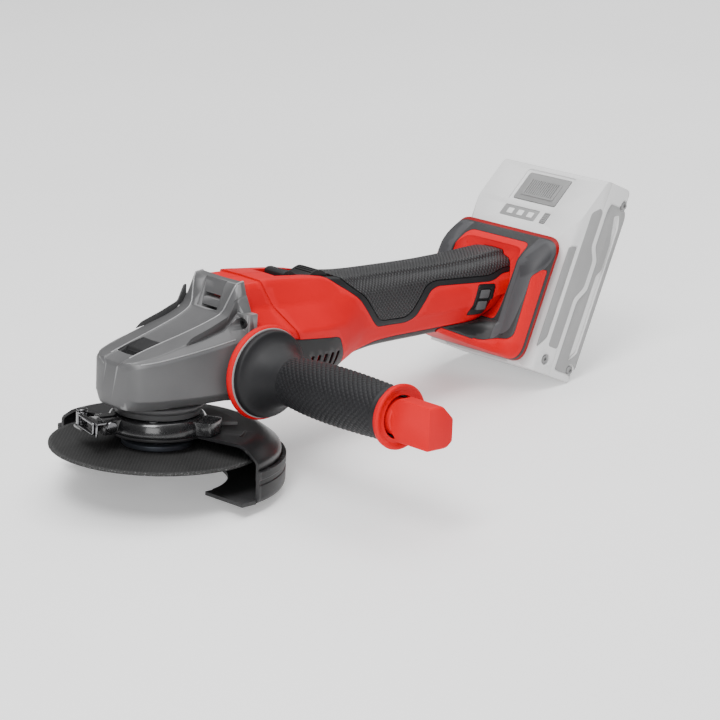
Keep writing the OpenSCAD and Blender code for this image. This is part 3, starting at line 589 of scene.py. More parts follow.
def grow(points, d):
    """Outline pushed outwards by d, kept as corners with their setbacks."""
    pts = [np.array(p[:2], float) for p in points]
    area = sum(p[0] * q[1] - q[0] * p[1] for p, q in zip(pts, pts[1:] + pts[:1]))
    s = 1 if area > 0 else -1
    out = []
    for k, p in enumerate(points):
        a, b, c = pts[k - 1], pts[k], pts[(k + 1) % len(pts)]
        u, v = (b - a) / np.linalg.norm(b - a), (c - b) / np.linalg.norm(c - b)
        n1, n2 = np.array([u[1], -u[0]]) * s, np.array([v[1], -v[0]]) * s
        m = n1 + n2
        m = m / max(0.3, float(m @ n1)) if np.linalg.norm(m) > 1e-6 else n1
        out.append((b[0] + m[0] * d, b[1] + m[1] * d, p[2] if len(p) > 2 else 0))
    return out


def across(points, w=60, where=None, n=5):
    return prism(rounded(points, 0.01, n), -w, w, "xz", where)


# casting with the flange of the side handle
head = head_body()
flange = common(body_loft(0, 41, 60), across(FLANGE_EDGE, 45))
plus(head, flange)
for side, _ in SIDES:
    pad = rod(12, 28, 32, move(HANDLE_X, 0, HANDLE_Z) @ turn(-side * math.pi / 2, "X"), 64, 0.5)
    plus(head, pad)
# space inside for the gears
minus(head, rod(18.2, 18, 45), rod(21.3, 31, 70, motor(0)))
# ears, slots, button pocket and flank pockets
minus(head,
    across([(24, 92, 0.1), (26.5, 82, 2), (32.4, 68, 1), (38.4, 84.3, 1.5), (38.6, 92, 0.1)], 8.6))
for x0, z0 in ((32, 68.4), (33.6, 74.6)):
    minus(head, block(x0, x0 + 9, -6.3, 6.3, z0, z0 + 2.5))
minus(head, across([(-22, 46.6, 0.1), (-4.7, 46.6, 0.1), (-4.7, 62, 0.1), (-22, 62, 0.1)], 7.7))
for side, tag in SIDES:
    pocket = prism(rounded([(-2, 57, 0.8), (3.5, 61.8, 1.5), (17, 66.2, 1.5), (28.4, 70.6, 1.5),
        (32.4, 79, 1.5), (36.2, 80, 1.5), (36.2, 70, 1.5), (25, 62.6, 2), (12, 59.4, 2)], 1, 4),
        *beside(side, 21.2, 40))
    minus(head, pocket)
    # thin dark sheet on each pocket floor: painted shade in the recess
    pocket_shade = prism(rounded([(0.4, 58.2, 0.8), (4.2, 61.4, 1.5), (17, 65.4, 1.5), (28.6, 69.8, 1.5),
        (32.6, 78.2, 1), (34.6, 78.6, 1), (34.6, 71, 1.5), (25, 63.6, 2), (12, 60.4, 2)], 1, 4),
        *beside(side, 21, 21.5))
    piece(pocket_shade, "tool", DARK_PAINT_AND_SHADE, (), 0.1, name="flank_pocket_painted_shade_" + tag)
    boss = prism(rounded([(34.2, 20.4, 1), (35, 27.4, 1), (37, 29.3, 1), (42.1, 29.3, 0.1),
        (42.1, 19, 0.1), (33.6, 18.6, 0.5)], 1, 4), 60.6, 71, "xy")
    if side < 0:
        boss.data.transform(Matrix.Scale(-1, 4, (0, 1, 0)))
        fix(boss)
    plus(head, boss)
    minus(head, rod(3.2, 20, 37.2, move(0, side * 25.2, 66) @ turn(math.pi / 2, "Y"), 48))
piece(head, "tool", PAINT, ["gear_head"], 0.3, 26, shade=24,
    name="gear_head_casting")


def wire(name, points, r, where=Matrix.Identity(4), closed=True):
    """Round wire of radius r through the points."""
    c = bpy.data.curves.new(name, "CURVE")
    c.dimensions, c.bevel_depth, c.bevel_resolution = "3D", r * MM, 4
    s = c.splines.new("POLY")
    s.points.add(len(points) - 1)
    for k, p in enumerate(points):
        s.points[k].co = (*[v * MM for v in p], 1)
    s.use_cyclic_u = closed
    c.use_fill_caps = True
    ob = link(name, c)
    bpy.context.view_layer.update()
    me = bpy.data.meshes.new_from_object(ob.evaluated_get(bpy.context.evaluated_depsgraph_get()))
    bpy.data.objects.remove(ob)
    me.transform(where)
    return link(name, me)


# bright lines along the edges of the sloping panel and along the shoulder: painted highlights
# where these edges catch the light
rows = [(x, row_at(HEAD, x)) for x in list(np.arange(-26, 37, 2)) + [37.5, 41.8]]
for side, tag in SIDES:
    panel_line = [(x, side * (r[5] + 0.1), r[6] - 0.05) for x, r in rows]
    shoulder_line = [(x, side * (r[0] - 1.35), r[2] + 1.55) for x, r in rows if x < 30]
    for kind, line, r in (("panel", panel_line, 0.5), ("shoulder", shoulder_line, 0.36)):
        piece(wire("%s_ridge_%s" % (kind, tag), line, r, closed=False), "tool", RIDGE_HIGHLIGHT,
            shade=60)


def torx(name, r, h, where, body, mat, replaces=()):
    """Button head screw with a six-lobed socket."""
    head_ = revolve([(r, 0), (r, h * 0.45), (r * 0.82, h * 0.9), (r * 0.4, h), (0, h), (0.001, h),
        (0.001, 0)], "screw", None, 40)
    lobes = []
    for k in range(36):
        a = 2 * math.pi * k / 36
        q = r * (0.44 + 0.09 * math.cos(6 * a))
        lobes.append((q * math.cos(a), q * math.sin(a)))
    head_ = boolean(head_, prism(lobes, h * 0.35, h + 2, "xy"), solver="EXACT")
    head_.data.transform(where)
    return piece(head_, body, mat, replaces, 0, name=name)


for side, tag in SIDES:
    torx("head_screw_" + tag, 2.9, 1.9, move(37.3, side * 25.2, 66) @ turn(-math.pi / 2, "Y"),
        "tool", DARK_STEEL, ["head_screws"])
for k in range(4):
    a = math.radians(45 + 90 * k)
    torx("cover_screw_%d" % k, 2.5, 1.3, turn(a, "Z") @ move(21.6, 0, 18.4) @ turn(math.pi, "X"),
        "tool", DARK_STEEL)

cover = revolve([(16, 24.4), (24.5, 24.4, 0.3), (24.5, 22.6, 0.9), (23.2, 21.6, 0.5),
    (22.9, 18.5, 0.6), (21, 18.2, 0.3), (21, 7.5, 0.3), (9, 7.5, 0.3), (9, 12.9), (16, 12.9)],
    "bearing_cover_ring", None, 128)
piece(cover, "tool", DARK_PAINT_AND_SHADE, ["bearing_cover"], shade=40)

# lock button with its ribbed front
button = across([(-21.7, 49.4, 0.3), (-5.1, 49.4, 0.3), (-5.1, 57.2, 0.5), (-15.4, 54.4, 0.6),
    (-16.6, 52.9, 0.5), (-21.7, 51.2, 0.4)], 7.4)
for k in range(5):
    x = -17.6 - k * 0.85
    minus(button, block(x, x + 0.36, -6.4, 6.4, 51.7 - 0.29 * k, 55))
piece(button, "lock", BLACK, ["lock_button"], 0.25, 30, name="lock_button_cap")


# ---- motor housing and grip

# lower stretch of the housing in front of the raised shoulder
FRONT_ZONE = [(30, 100, 0.1), (52.5, 100, 0.1), (53.5, 86, 2), (59, 74, 4), (60.5, 70.9, 3),
    (69, 58, 3), (72, 50, 2), (72, 10, 0.1), (30, 10, 0.1)]
outer = body_loft(0, name="outer")
low = body_loft(1.1, name="low")
raised = minus(copy(outer), across(FRONT_ZONE))
shape = plus(copy(low), raised)          # stepped outside of the red housing
core = body_loft(1.9, name="core")       # under the rubber and the panels
cavity = common(body_loft(4.4, 42.3, 246, "cavity"), block(30, 228, -60, 60, 0, 100))


def foot_ring(row, t=0):
    w, half, u0, u1, r = row
    half, u0, u1 = half - t, u0 + t, u1 - t
    pts = rounded([(-half, u0), (half, u0), (half, u1), (-half, u1)], r, 8)
    return [(w, a, b) for a, b in pts]


CHIN = [(154, 11.5, 107.6, 111, 1.5), (162, 13.8, 106.8, 112, 2.5), (172, 16, 106.3, 114.5, 4),
    (180, 18, 106.1, 117.4, 5), (186, 20.4, 106, 119.8, 6), (190, 23.6, 106, 121.6, 6),
    (193, 28, 106, 123, 6), (195, 33, 106, 124.5, 6)]
FRONT_W = 194
FOOT = [(194, 32, 106, 160, 10), (194.7, 35.6, 105.9, 161.8, 10), (196.2, 38.6, 105.9, 164.6, 10),
    (198.4, 40.5, 105.8, 168, 10), (201, 41.4, 105.6, 171.6, 10), (204, 41.8, 105.3, 175.3, 10),
    (208, 42, 105, 179.8, 10)]


def foot_loft(t=0, w0=150, w1=208):
    first = FRONT_W + t
    ws = [first, first + 0.8, first + 1.7] + list(np.arange(first + 2.6, w1, 1.6)) + [w1]
    ob = loft([foot_ring((w, *row_at(FOOT, w)), t) for w in ws], "foot", PACK)
    ws = np.linspace(w0 + 4, FRONT_W + t * 0.4 + 0.9, 14)
    return plus(ob, loft([foot_ring((w, *row_at(CHIN, w)), t) for w in ws], "chin", PACK))


PANEL = [(-24.4, 172.4, 5), (24.4, 172.4, 5), (25.6, 158, 6), (25.2, 146, 6), (24.6, 132, 5),
    (22.6, 124.5, 3), (-22.6, 124.5, 3), (-24.6, 132, 5), (-25.2, 146, 6), (-25.6, 158, 6)]


def recess(t):
    """Hollow with sloping sides that the end of the grip stands in."""
    rings = [(186 - t, 1.2), (194.2, 0.2), (196, -0.9), (198.2, -2.6), (199.2 + t, -4.2)]
    return loft([[(w, a, b) for a, b in rounded(grow(PANEL, d + t), 2, 6)] for w, d in rings],
        "recess", PACK)


foot_out, foot_in = minus(foot_loft(), recess(0)), minus(foot_loft(2.4), recess(2.4))
foot_cavity = common(foot_loft(4.6, 156, 208), block(204.4, 220, -60, 60, 90, 220, PACK))

# red half shells
red = minus(copy(shape), across(RUBBER_EDGE), across(VENT_EDGE), across(STRIP_EDGE))
plus(red, copy(core))
plus(red, copy(foot_in))
minus(red, across(FLANGE_EDGE, 45), block(20, 42.15, -60, 60, 0, 100),
    block(208, 260, -60, 60, 60, 260, PACK))
minus(red, copy(cavity), foot_cavity, rod(21.6, 30, 70, motor(0)))
SWITCH_POCKET = [(70.6, 95, 0.1), (70.6, 80.2, 0.2), (84, 78.2, 1), (112.2, 76.4, 1.5),
    (114.6, 95, 0.1)]
minus(red, across(SWITCH_POCKET, 9.2), block(82, 108, -2.6, 2.6, 64, 84),
    block(90, 126, -2.6, 2.6, 66, 71.6))
BEZEL = [(209, 46, 2), (224.2, 44.8, 2), (229.2, 62.4, 2), (215.8, 63.6, 2)]
minus(red, prism(rounded(grow(BEZEL, GAP), 2, 4), -30, -15.8))
left = common(copy(red), block(20, 280, 0.12, 60, 0, 120))
right = common(red, block(20, 280, -60, -0.12, 0, 120))
piece(left, "tool", RED, ["housing_left"], 0.4, 28, name="housing_shell_left")
piece(right, "tool", RED, ["housing_right"], 0.4, 28, name="housing_shell_right")

# rubber of the grip: smooth border with a field of raised cells
skin = minus(copy(outer), copy(core))
rubber = common(copy(skin), across(grow(RUBBER_EDGE, -GAP)))
minus(rubber, block(60, 114.6, -9.2, 9.2, 74, 100))
dip = body_loft(0.7, name="dip")
cells = common(copy(rubber), across(grow(CELL_EDGE, -0.35)))
minus(rubber, across(grow(CELL_EDGE, 0.35)))
under = common(minus(copy(dip), copy(core)), across(grow(RUBBER_EDGE, -GAP)))
minus(under, block(60, 114.6, -9.2, 9.2, 74, 100))
plus(rubber, under)
minus(rubber, copy(foot_out))
minus(cells, copy(dip), copy(foot_out))
piece(rubber, "tool", RUBBER, ["grip_overmould"], 0.35, 30, name="grip_border")
piece(cells, "tool", CELLS, (), 0.35, 30, name="grip_cells")

# black lower flanks with air slots
vent = common(copy(skin), across(grow(VENT_EDGE, -GAP)))
minus(vent, block(20, 60.3, -60, 60, 0, 100))
for k in range(5):
    x = 5 * k
    for side, _ in SIDES:
        minus(vent,
            prism(rounded([(78 + x, 27), (80.4 + x, 27), (82.2 + x, 43), (79.8 + x, 43)], 0.8, 3),
            *beside(side, 18, 45)))
piece(vent, "tool", BLACK, ["vent_panels"], 0.4, 30, name="vent_flanks")

strip = common(copy(skin), across(grow(STRIP_EDGE, -GAP)))
minus(strip, copy(foot_out))
piece(strip, "tool", BLACK, ["grip_strip"], 0.35, 30, name="grip_strip_black")

# slide switch with two humps
slider = across([(78, 80.9, 0.3), (110, 77.9, 0.3), (110, 79.2, 0.6), (106.4, 82.6, 1.2),
    (103, 83.5, 1.4), (99.5, 82.6, 1.5), (96, 80.9, 2), (89.5, 81.6, 2), (86, 83.2, 2),
    (83.2, 85.2, 1.2), (79.6, 85.2, 0.8), (78, 84, 0.6)], 7.9)
for k in range(5):
    minus(slider, block(98.4 + 1.7 * k, 99.1 + 1.7 * k, -6.6, 6.6, 80.9, 90))
post = block(96, 100, -2, 2, 68.6, 80.6)
arm = block(96, 116, -2, 2, 68.6, 70.6)
plus(slider, post, arm)
piece(slider, "slider", BLACK, ["slide_switch"], 0.3, 30, name="on_off_slider")

# speed buttons in their bezel
bez = common(minus(copy(outer), block(150, 300, -16, 60, 0, 120), copy(foot_out)),
    prism(rounded(BEZEL, 2, 5), -30, -10))
minus(bez, prism(rounded([(212.2, 48.2), (222, 47.4), (226.2, 60.4), (217.2, 61.2)], 1.4, 4), -30,
    -19.8))
piece(bez, "tool", BLACK, ["button_bezel"], 0.45, 30, name="button_frame")
for name, body, q in (
        ("upper_button", "button_a", [(216.4, 55.4), (223.6, 54.9), (225, 59.6), (217.9, 60.2)]),
        ("lower_button", "button_b", [(213.9, 49), (221.2, 48.4), (222.7, 53.2), (215.5, 53.8)])):
    b = prism(rounded(q, 0.9, 4), -20.9, -17.3)
    piece(b, body, BUTTON, [name], 0.5, 30, name=name + "_cap", segments=3)

# ---- foot

def foot_patch(points, w0, w1, d=0):
    return prism(rounded(grow(points, d) if d else points, 2, 6), w0, w1, "yz", PACK)


def side_strip(side, d=0):
    pts = [(146 - d, 99, 0.1), (146 - d, 109.4 + d, 0.1), (190 - d, 110.2 + d, 3),
        (197 - d, 117 + d, 4), (196.2 - d, 154 + d * 0.6, 2), (199.8, 159.2 + d, 2.5),
        (203.6 + d, 159.8 + d, 1.5), (204.3 + d, 99, 0.1)]
    return prism(rounded(pts, 1, 5), *beside(side, 20, 50), "xz", PACK)


def bottom_strip(d=0):
    return block(146 - d, 204.3 + d, -33, 33, 98, 109.4 + d, PACK)


foot_skin = minus(copy(foot_out), copy(foot_in))
body_gap = body_loft(-0.3, 120, 247, "gap")
minus(foot_skin, body_gap)
panel = common(copy(foot_skin), foot_patch(PANEL, 190, 205.2))
frame_ = minus(copy(foot_skin), foot_patch(PANEL, 189.5, 205.5, GAP))
strips = plus(side_strip(-1), side_strip(1), bottom_strip())
strips_grown = plus(side_strip(-1, GAP), side_strip(1, GAP), bottom_strip(GAP))
rim_zone = block(206.2, 230, -60, 60, 90, 220, PACK)
minus(frame_, strips_grown, copy(rim_zone))
# lighter band down the flare of the frame: its own charcoal texture, with a painted highlight
# where the curved corner catches the light
BAND = [(189, 111.5, 0.1), (189, 168, 0.1), (196, 170.5, 4), (204.9, 178.5, 3), (207, 174, 3),
    (203.6, 163.5, 5), (198.6, 156, 6), (196, 146, 6), (195.2, 126, 6), (194.6, 119, 5),
    (192.5, 112.5, 2), (189, 111.5, 0.1)]
band_zone = plus(prism(rounded(BAND, 1, 5), -60, -26.6, "xz", PACK),
    prism(rounded(BAND, 1, 5), 26.6, 60, "xz", PACK))
flare = common(copy(frame_), copy(band_zone))
minus(frame_, band_zone)
red_foot = plus(common(copy(foot_skin), strips), panel)
minus(red_foot, copy(rim_zone))
rim = common(foot_skin, rim_zone)
piece(frame_, "tool", BLACK, ["foot_frame"], 0.5, 30, name="foot_frame_black")
piece(flare, "tool", CHARCOAL_AND_HIGHLIGHT, (), 0.3, 30, name="foot_flare_charcoal_and_highlight")
piece(red_foot, "tool", RED, ["foot_panels"], 0.4, 30, name="foot_panels_red")
# rim in the darker red: painted shade
piece(rim, "tool", RED_PAINTED_SHADE, ["foot_rim"], 0.4, 30, name="foot_rim_painted_shade")
for ob in (outer, low, shape, core, cavity, foot_out, foot_in, skin, dip):
    bpy.data.objects.remove(ob)

# ---- side handle, drawn along its own axis

collar = revolve([(7.2, 32.4), (24.6, 32.4, 0.6), (25.7, 33.4, 0.8), (25.7, 35, 0.8),
    (24.4, 36.4, 0.6), (7.2, 36.4)], "handle_collar_ring", HANDLE, 128)
piece(collar, "handle", RED, ["handle_collar"], shade=45)
# thin grey ring between the collar and the cone: a painted highlight on that edge
line = revolve([(20, 36), (24.3, 36, 0.2), (24.3, 36.9, 0.3), (20, 36.9)], "handle_collar_painted_highlight",
    HANDLE, 128)
piece(line, "handle", PALE_DARK, shade=45)
cone = revolve([(7.2, 36.9), (23.6, 36.9, 0.3), (23.75, 38.6, 1), (23.2, 40.2, 1.2),
    (20.6, 41.6, 2), (18, 44.2, 2.5), (15.4, 48.8, 3), (13.6, 53.6, 3), (12.9, 57.3, 0.5),
    (12.2, 57.5), (7.2, 57.5)], "handle_cone", HANDLE, 128, n=5)
piece(cone, "handle", RUBBER, ["handle_core"], shade=45)

GRIP = [(57.6, 13.1), (60, 13.5), (64, 13.9), (72, 14.6), (82, 15.1), (94, 15.3), (108, 15.1),
    (120, 14.7), (128, 14.3), (131, 14.1)]
CELLS_ROUND = 54
PITCH = 1.72


def grip_wave(q, z, a):
    """Raised diamonds between two families of crossing grooves."""
    if z < 59.2 or z > 130.2 or q < 12:
        return q
    u, v = a * CELLS_ROUND / (2 * math.pi), z / (2 * PITCH)
    p, s = (u * 0.5 + v) % 1, (u * 0.5 - v) % 1
    d = min(p, 1 - p, s, 1 - s) * 2
    return q - 0.42 + 0.42 * min(1, d / 0.62) ** 0.8


def handle_grip():
    zs = list(np.arange(57.6, 131.01, PITCH / 4))
    outline = [(through([g[0] for g in GRIP], [g[1] for g in GRIP], float(z)), float(z))
        for z in zs]
    tail = [(13.5, 131.6), (13.5, 132.8), (14.2, 133.2), (14.2, 135.4), (10.4, 135.4),
        (10.4, 126.1), (7.2, 126.1), (7.2, 57.6)]
    return revolve(outline + tail, "handle_grip_knurled", HANDLE, CELLS_ROUND * 5, wave=grip_wave)


piece(handle_grip(), "handle", RUBBER, ["handle_grip"], shade=50)

ring = revolve([(11.4, 135.45), (15.9, 135.45, 0.5), (16.7, 136.4, 0.6), (17.05, 138, 0.8),
    (17.05, 139, 0.6), (16.2, 139.7, 0.5), (14.6, 139.3, 0.5), (13.6, 138.7, 0.5),
    (12.4, 138.7, 0.5), (11.4, 139, 0.3)], "handle_end_ring_red", HANDLE, 128)
minus(ring, block(-3.2, 3.2, 15.6, 20, 134, 137.6, HANDLE @ turn(math.radians(38), "Z")))
piece(ring, "handle", RED, ["handle_end_ring"], shade=40)

key = prism(rounded([(-7.9, -10.4, 0.9), (3.8, -10.4, 0.9), (8.3, -7, 0.9), (8.3, 4.6, 0.9),
    (0.8, 12.1, 0.9), (-7.9, 12.1, 0.6)], 1, 4), 140.5, 167.7, "xy")
side_cut = prism(rounded([(-5.6, 140.5, 0.6), (7.2, 140.5, 0.6), (12.3, 145.6, 1.2),
    (12.3, 166.4, 1), (11, 167.8, 0.8), (-9.4, 167.8, 0.8), (-10.6, 166.4, 1),
    (-10.6, 145.2, 1.2)], 1, 4), -12, 12, "yz")
common(key, side_cut)
plus(key, rod(9.6, 127, 141, None, 64, 0.6))
key.data.transform(HANDLE)
piece(key, "wrench", RED, ["pin_wrench"], 0.6, 25, name="wrench_key", segments=3)

# ---- spindle, disc and flange

def uneven_edge(q, z, a):
    return q + (0.05 * math.sin(97 * a) * math.sin(61 * a + 1) if q > 50 else 0)


disc = revolve([(11.15, -0.8), (57.2, -0.8), (57.45, -0.5), (57.45, 0.5), (57.2, 0.8),
    (11.15, 0.8)], "cutting_disc_mesh", None, 360, wave=uneven_edge)
piece(disc, "spindle_set", ABRASIVE, ["cutting_disc"], shade=50)
flange_ = revolve([(SEAT_R, -0.78), (11.08, -0.78), (11.08, 0.82), (18.6, 0.82, 0.3),
    (19, 1.2, 0.2), (19, 3.4, 0.35), (17.4, 4.3, 0.4), (12.2, 4.5, 0.4), (12, 5), (SEAT_R, 5)],
    "inner_flange_ring", None, 128)
piece(flange_, "spindle_set", BLUED, ["inner_flange"], shade=40)
nut = revolve([(SEAT_R, -6.8), (13.6, -6.8, 0.5), (14, -3.9, 0.3), (18.7, -3.8, 0.4),
    (19, -1, 0.3), (SEAT_R, -0.82)], "flange_nut_ring", None, 128)
for k in range(4):
    minus(nut, rod(2.2, -10, -3.4, turn(k * math.pi / 2, "Z") @ move(11, 0, 0), 32))
piece(nut, "spindle_set", BLUED, ["flange_nut"], shade=40)

# ---- guard, clamp and cutting cover

G0, G1 = -76, 103           # ends of the guard, in degrees round the spindle
shell = revolve([(24, 8), (53.6, 8, 3), (57.6, 6.4, 2), (64.4, 1.6, 1.8), (64.4, -8), (66, -8),
    (66, 2.3, 2.4), (58.4, 7.8, 2.6), (54.2, 9.5, 3), (24, 9.5)], "guard_plate", None, 180, G0,
    G1 - G0, n=5)
neck = revolve([(BAND_R, 8), (26.6, 8), (26.6, 9.5, 0.3), (BAND_R, 9.5)], "neck", None, 128)
plus(shell, neck)
plus(shell, revolve([(45.5, 9.3), (47.5, 9.3), (46.9, 9.95, 0.3), (46.1, 9.95, 0.3)], "rib", None,
    20, -60, 14))
piece(shell, "guard", SATIN_BLACK, ["guard_shell"], 0.3, 32,
    name="guard_shell_painted")

band = revolve([(BAND_R, 9.5), (26.8, 9.5, 0.6), (27, 11, 0.8), (26.7, 13.6, 1.2),
    (25.6, 16.4, 1.2), (24.2, 17.9, 0.8), (BAND_R, 18)], "band", None, 128, n=5)
lug = plate(21.6, 33.5, -7, 7, 9.6, 17.4, 1.2, 4, CLAMP)
bracket = plate(22, 41.8, -15.5, -4, 9.7, 11.1, 2, 5, CLAMP)
lug2 = prism(rounded([(21.5, -8), (33.5, -8), (34.5, -4), (34.5, 4), (33.5, 8), (21.5, 8)], 1.5,
    5), 10, 16.9, "xy", turn(math.radians(-62), "Z"))
plus(band, lug, bracket, lug2)
minus(band, rod(BAND_R, 0, 30, None, 128), block(15, 45, -1.9, 1.9, 5, 40, CLAMP),
    rod(2.05, -14, 14, CLAMP @ move(30, 0, 14.2) @ turn(-math.pi / 2, "X"), 32))
piece(band, "guard", GLOSS_BLACK, ["guard_band"], 0.35, 32, name="guard_clamp_band")

tab = revolve([(25.2, 9.5), (43, 9.5), (43, 11.2, 0.3), (42.2, 11.3, 0.2), (25.2, 11.3)],
    "guard_tab_plate", None, 24, -30, 42)
piece(tab, "guard", GREY_COAT, ["guard_tab"], 0.2, 40)

bolt = rod(2, -8, 8, None, 32)
plus(bolt, rod(3.3, -9.6, -7, None, 6, 0.3), rod(3.1, 7, 9.4, None, 32, 0.4))
bolt.data.transform(CLAMP @ move(30, 0, 14.2) @ turn(-math.pi / 2, "X"))
pin = plus(rod(1.6, 8.4, 19.4, None, 32, 0.2), rod(2.8, 18.9, 19.9, None, 32, 0.3))
pin.data.transform(CLAMP @ move(38.2, -12, 0))
plus(bolt, pin)
piece(bolt, "guard", BLACK_CHROME, ["clamp_bolt"], 0.15, 40, name="clamp_hardware")

hub = CLAMP @ move(38.2, -12, 0)
lever = revolve([(1.66, 11.3), (3, 11.3, 0.3), (3, 18.6, 0.3), (1.66, 18.6)], "lever", None, 40)
bar = prism(rounded([(1.9, 1.2, 0.5), (3, 1.2, 0.5), (3, 25, 0.5), (3.4, 26.4, 0.5),
    (2.4, 26.6, 0.3), (1.9, 25.2, 0.5)], 0.4, 4), 11.3, 18.6, "xy")
plus(lever, bar)
plus(lever, plate(-3.2, 2.9, 12, 26.4, 17.5, 18.6, 1.2, 5))
minus(lever, prism(rounded([(5, 12.6), (22, 12.6), (22, 16.4), (5, 16.4)], 1.5, 5), 0, 6, "yz"))
lever.data.transform(hub)
piece(lever, "clamp", BLACK_CHROME, ["clamp_lever"], 0.2, 35,
    name="clamp_lever_plate")
loop = []
for y0, z0, a0 in ((22.4, 17, 0), (22.4, 12.9, 270), (4.6, 12.9, 180), (4.6, 17, 90)):
    for k in range(5):
        a = math.radians(a0 + 90 - k * 22.5)
        loop.append((3.55, y0 + 0.9 * math.cos(a), z0 + 0.9 * math.sin(a)))
piece(wire("clamp_wire_loop", loop, 0.55, hub), "clamp", BLACK_CHROME, shade=60)

cover_line = [(38, -19), (63.5, -19, 1), (67.2, -19, 1.6), (68.6, -16.8, 1.2), (68.6, -9.4, 0.2),
    (68.1, -9, 0.2), (68.1, -6.6, 0.2), (68.6, -6.2, 0.2), (68.6, -2, 0.4), (66.4, -2, 0.3),
    (66.4, -15.6, 0.8), (65.4, -17, 0.8), (38, -17)]
cover_ = revolve(cover_line, "cutting_cover_body", None, 180, G0 - 2, G1 - G0 + 2)
for k in range(9):
    a = math.radians(G0 + 6 + 20.5 * k)
    minus(cover_, block(66.4, 68.55, -1, 1, -3.4, -1.4, turn(a, "Z")))
# front plate of the cover with its rounded end
tongue = prism(rounded([(38.5, -1, 0.3), (66.8, -1, 0.5), (66.8, 9.5, 0.5), (52, 9.5, 3),
    (38.5, 9.5, 4)], 1, 6), -19, -17, "xy", turn(math.radians(G0 - 10.5), "Z"))
plus(cover_,
    common(tongue, revolve([(37.9, -19), (68, -19), (68, -16), (37.9, -16)], "lim", None, 96,
    G0 - 11, 14)))
piece(cover_, "cover", BLACK, ["cutting_cover"], 0.35, 35,
    name="cutting_cover_clip")

# ---- battery pack, in its own frame

# depth from front to back, height from U0 to U1, start of the nose, half width, parting plane
FRONT, BACK, U0, U1 = 208.4, 258, 104, 221.5
NOSE_U, NOSE_W, HALF, PART = 180, 229.6, 42, 233


def pack_body(t=0):
    side = rounded([(FRONT + t, U0 + 5 + t, 1), (FRONT + 5 + t, U0 + t, 2),
        (BACK - 6 - t, U0 + t, 2.5), (BACK - t, U0 + 6 + t, 2.5), (BACK - t, U1 - 12, 3),
        (BACK - 8 - t, U1 - t, 3), (NOSE_W + t, U1 - t, 2.5), (FRONT + 2.6 + t, NOSE_U, 1.5),
        (FRONT + t, NOSE_U - 4, 1)], 1, 5)
    plan = rounded([(FRONT - 1, -30, 0.5), (FRONT + 9, -HALF + t, 2), (BACK - 7, -HALF + t, 2.5),
        (BACK - t, -HALF + 7 + t, 2.5), (BACK - t, HALF - 7 - t, 2.5), (BACK - 7, HALF - t, 2.5),
        (FRONT + 9, HALF - t, 2), (FRONT - 1, 30, 0.5)], 1, 5)
    return common(prism(side, -HALF - 1, HALF + 1, "xz"), prism(plan, 90, 240, "xy"))


def nose(u):
    s = (u - NOSE_U) / (U1 - NOSE_U)
    a = math.atan2(NOSE_W - FRONT - 2.6, U1 - NOSE_U)
    return move(FRONT + 2.6 + s * (NOSE_W - FRONT - 2.6), 0, u) @ turn(-math.pi / 2 + a, "Y")


pack = pack_body()
LATCH_AT, GAUGE_AT = nose(207), nose(190)
SCREWS_AT = ((250, 212), (250, 111), (226, 112))


def flank(s, outline, a, b, n=4):
    """Plate along the flank between the depths a and b, in the pack's own frame."""
    return prism(rounded(outline, 1, n), *beside(s, HALF + a, HALF + b))


def flank_screw(w, s, depth, u):
    return move(w, s * (HALF + depth), u) @ turn(-s * math.pi / 2, "X")


# slot of the tongue, open at the lower end
minus(pack, block(FRONT - 2, 211.8, -20.4, 20.4, 90, 168.6),
    block(211.2, 214.9, -25.4, 25.4, 90, 168.6))
# pockets of the latch, gauge and button on the sloping nose
minus(pack, plate(-9.5, 10.5, -17, 17, -4.4, 4, 1.5, 4, LATCH_AT),
    plate(-10.9, 12.4, -19.4, 19.4, -0.7, 4, 2, 4, LATCH_AT),
    plate(-4, 4, -10, 18, -1, 4, 1, 4, GAUGE_AT),
    plate(-4, 4, -18.6, -14, -3, 4, 0.8, 4, GAUGE_AT))
# flank relief: a framed field, a long groove in it, a lane beside the foot and the screw seats
for s, _ in SIDES:
    minus(pack,
        flank(s, [(238.5, 211, 1.5), (252.5, 211, 2.5), (254.5, 206, 2.5), (254.5, 112, 2),
        (251, 108, 2), (236, 108, 2), (236, 150, 2.5), (241.5, 158, 2.5), (241.5, 176, 2.5),
        (236.5, 183, 2.5), (236.5, 205, 2)], -0.9, 3, 5),
        flank(s, [(244.8, 203, 1.4), (248.6, 205, 1.4), (251, 199, 1.5), (251, 122, 1.5),
        (246, 116, 1.5), (246, 168, 1.5), (249, 172, 1.5), (249, 188, 1.5)], -2.2, 3),
        flank(s, [(215, 178, 1.5), (222, 180, 1.5), (222, 124, 2), (215, 116, 2)], -0.7, 3))
    for w, u in SCREWS_AT:
        minus(pack, rod(3.4, -1.9, 3, flank_screw(w, s, 0, u), 40))
hollow = minus(pack_body(2.6), block(FRONT - 2, 218, -29, 29, 80, 172),
    plate(-11.1, 13.4, -20.4, 20.4, -6, 5, where=LATCH_AT),
    plate(-5.6, 5.6, -20.2, -12.4, -4.6, 5, where=GAUGE_AT))
minus(pack, hollow)
front = common(copy(pack), block(200, PART - 0.12, -60, 60, 60, 260))
rear = common(pack, block(PART + 0.12, 300, -60, 60, 60, 260))
for ob, tag, slot_ in ((front, "front", "pack_light"), (rear, "rear", "pack_mid")):
    ob.data.transform(PACK)
    piece(ob, "pack", PALE, ["pack_%s_case" % tag], 0.45, 28, name="pack_shell_" + tag)

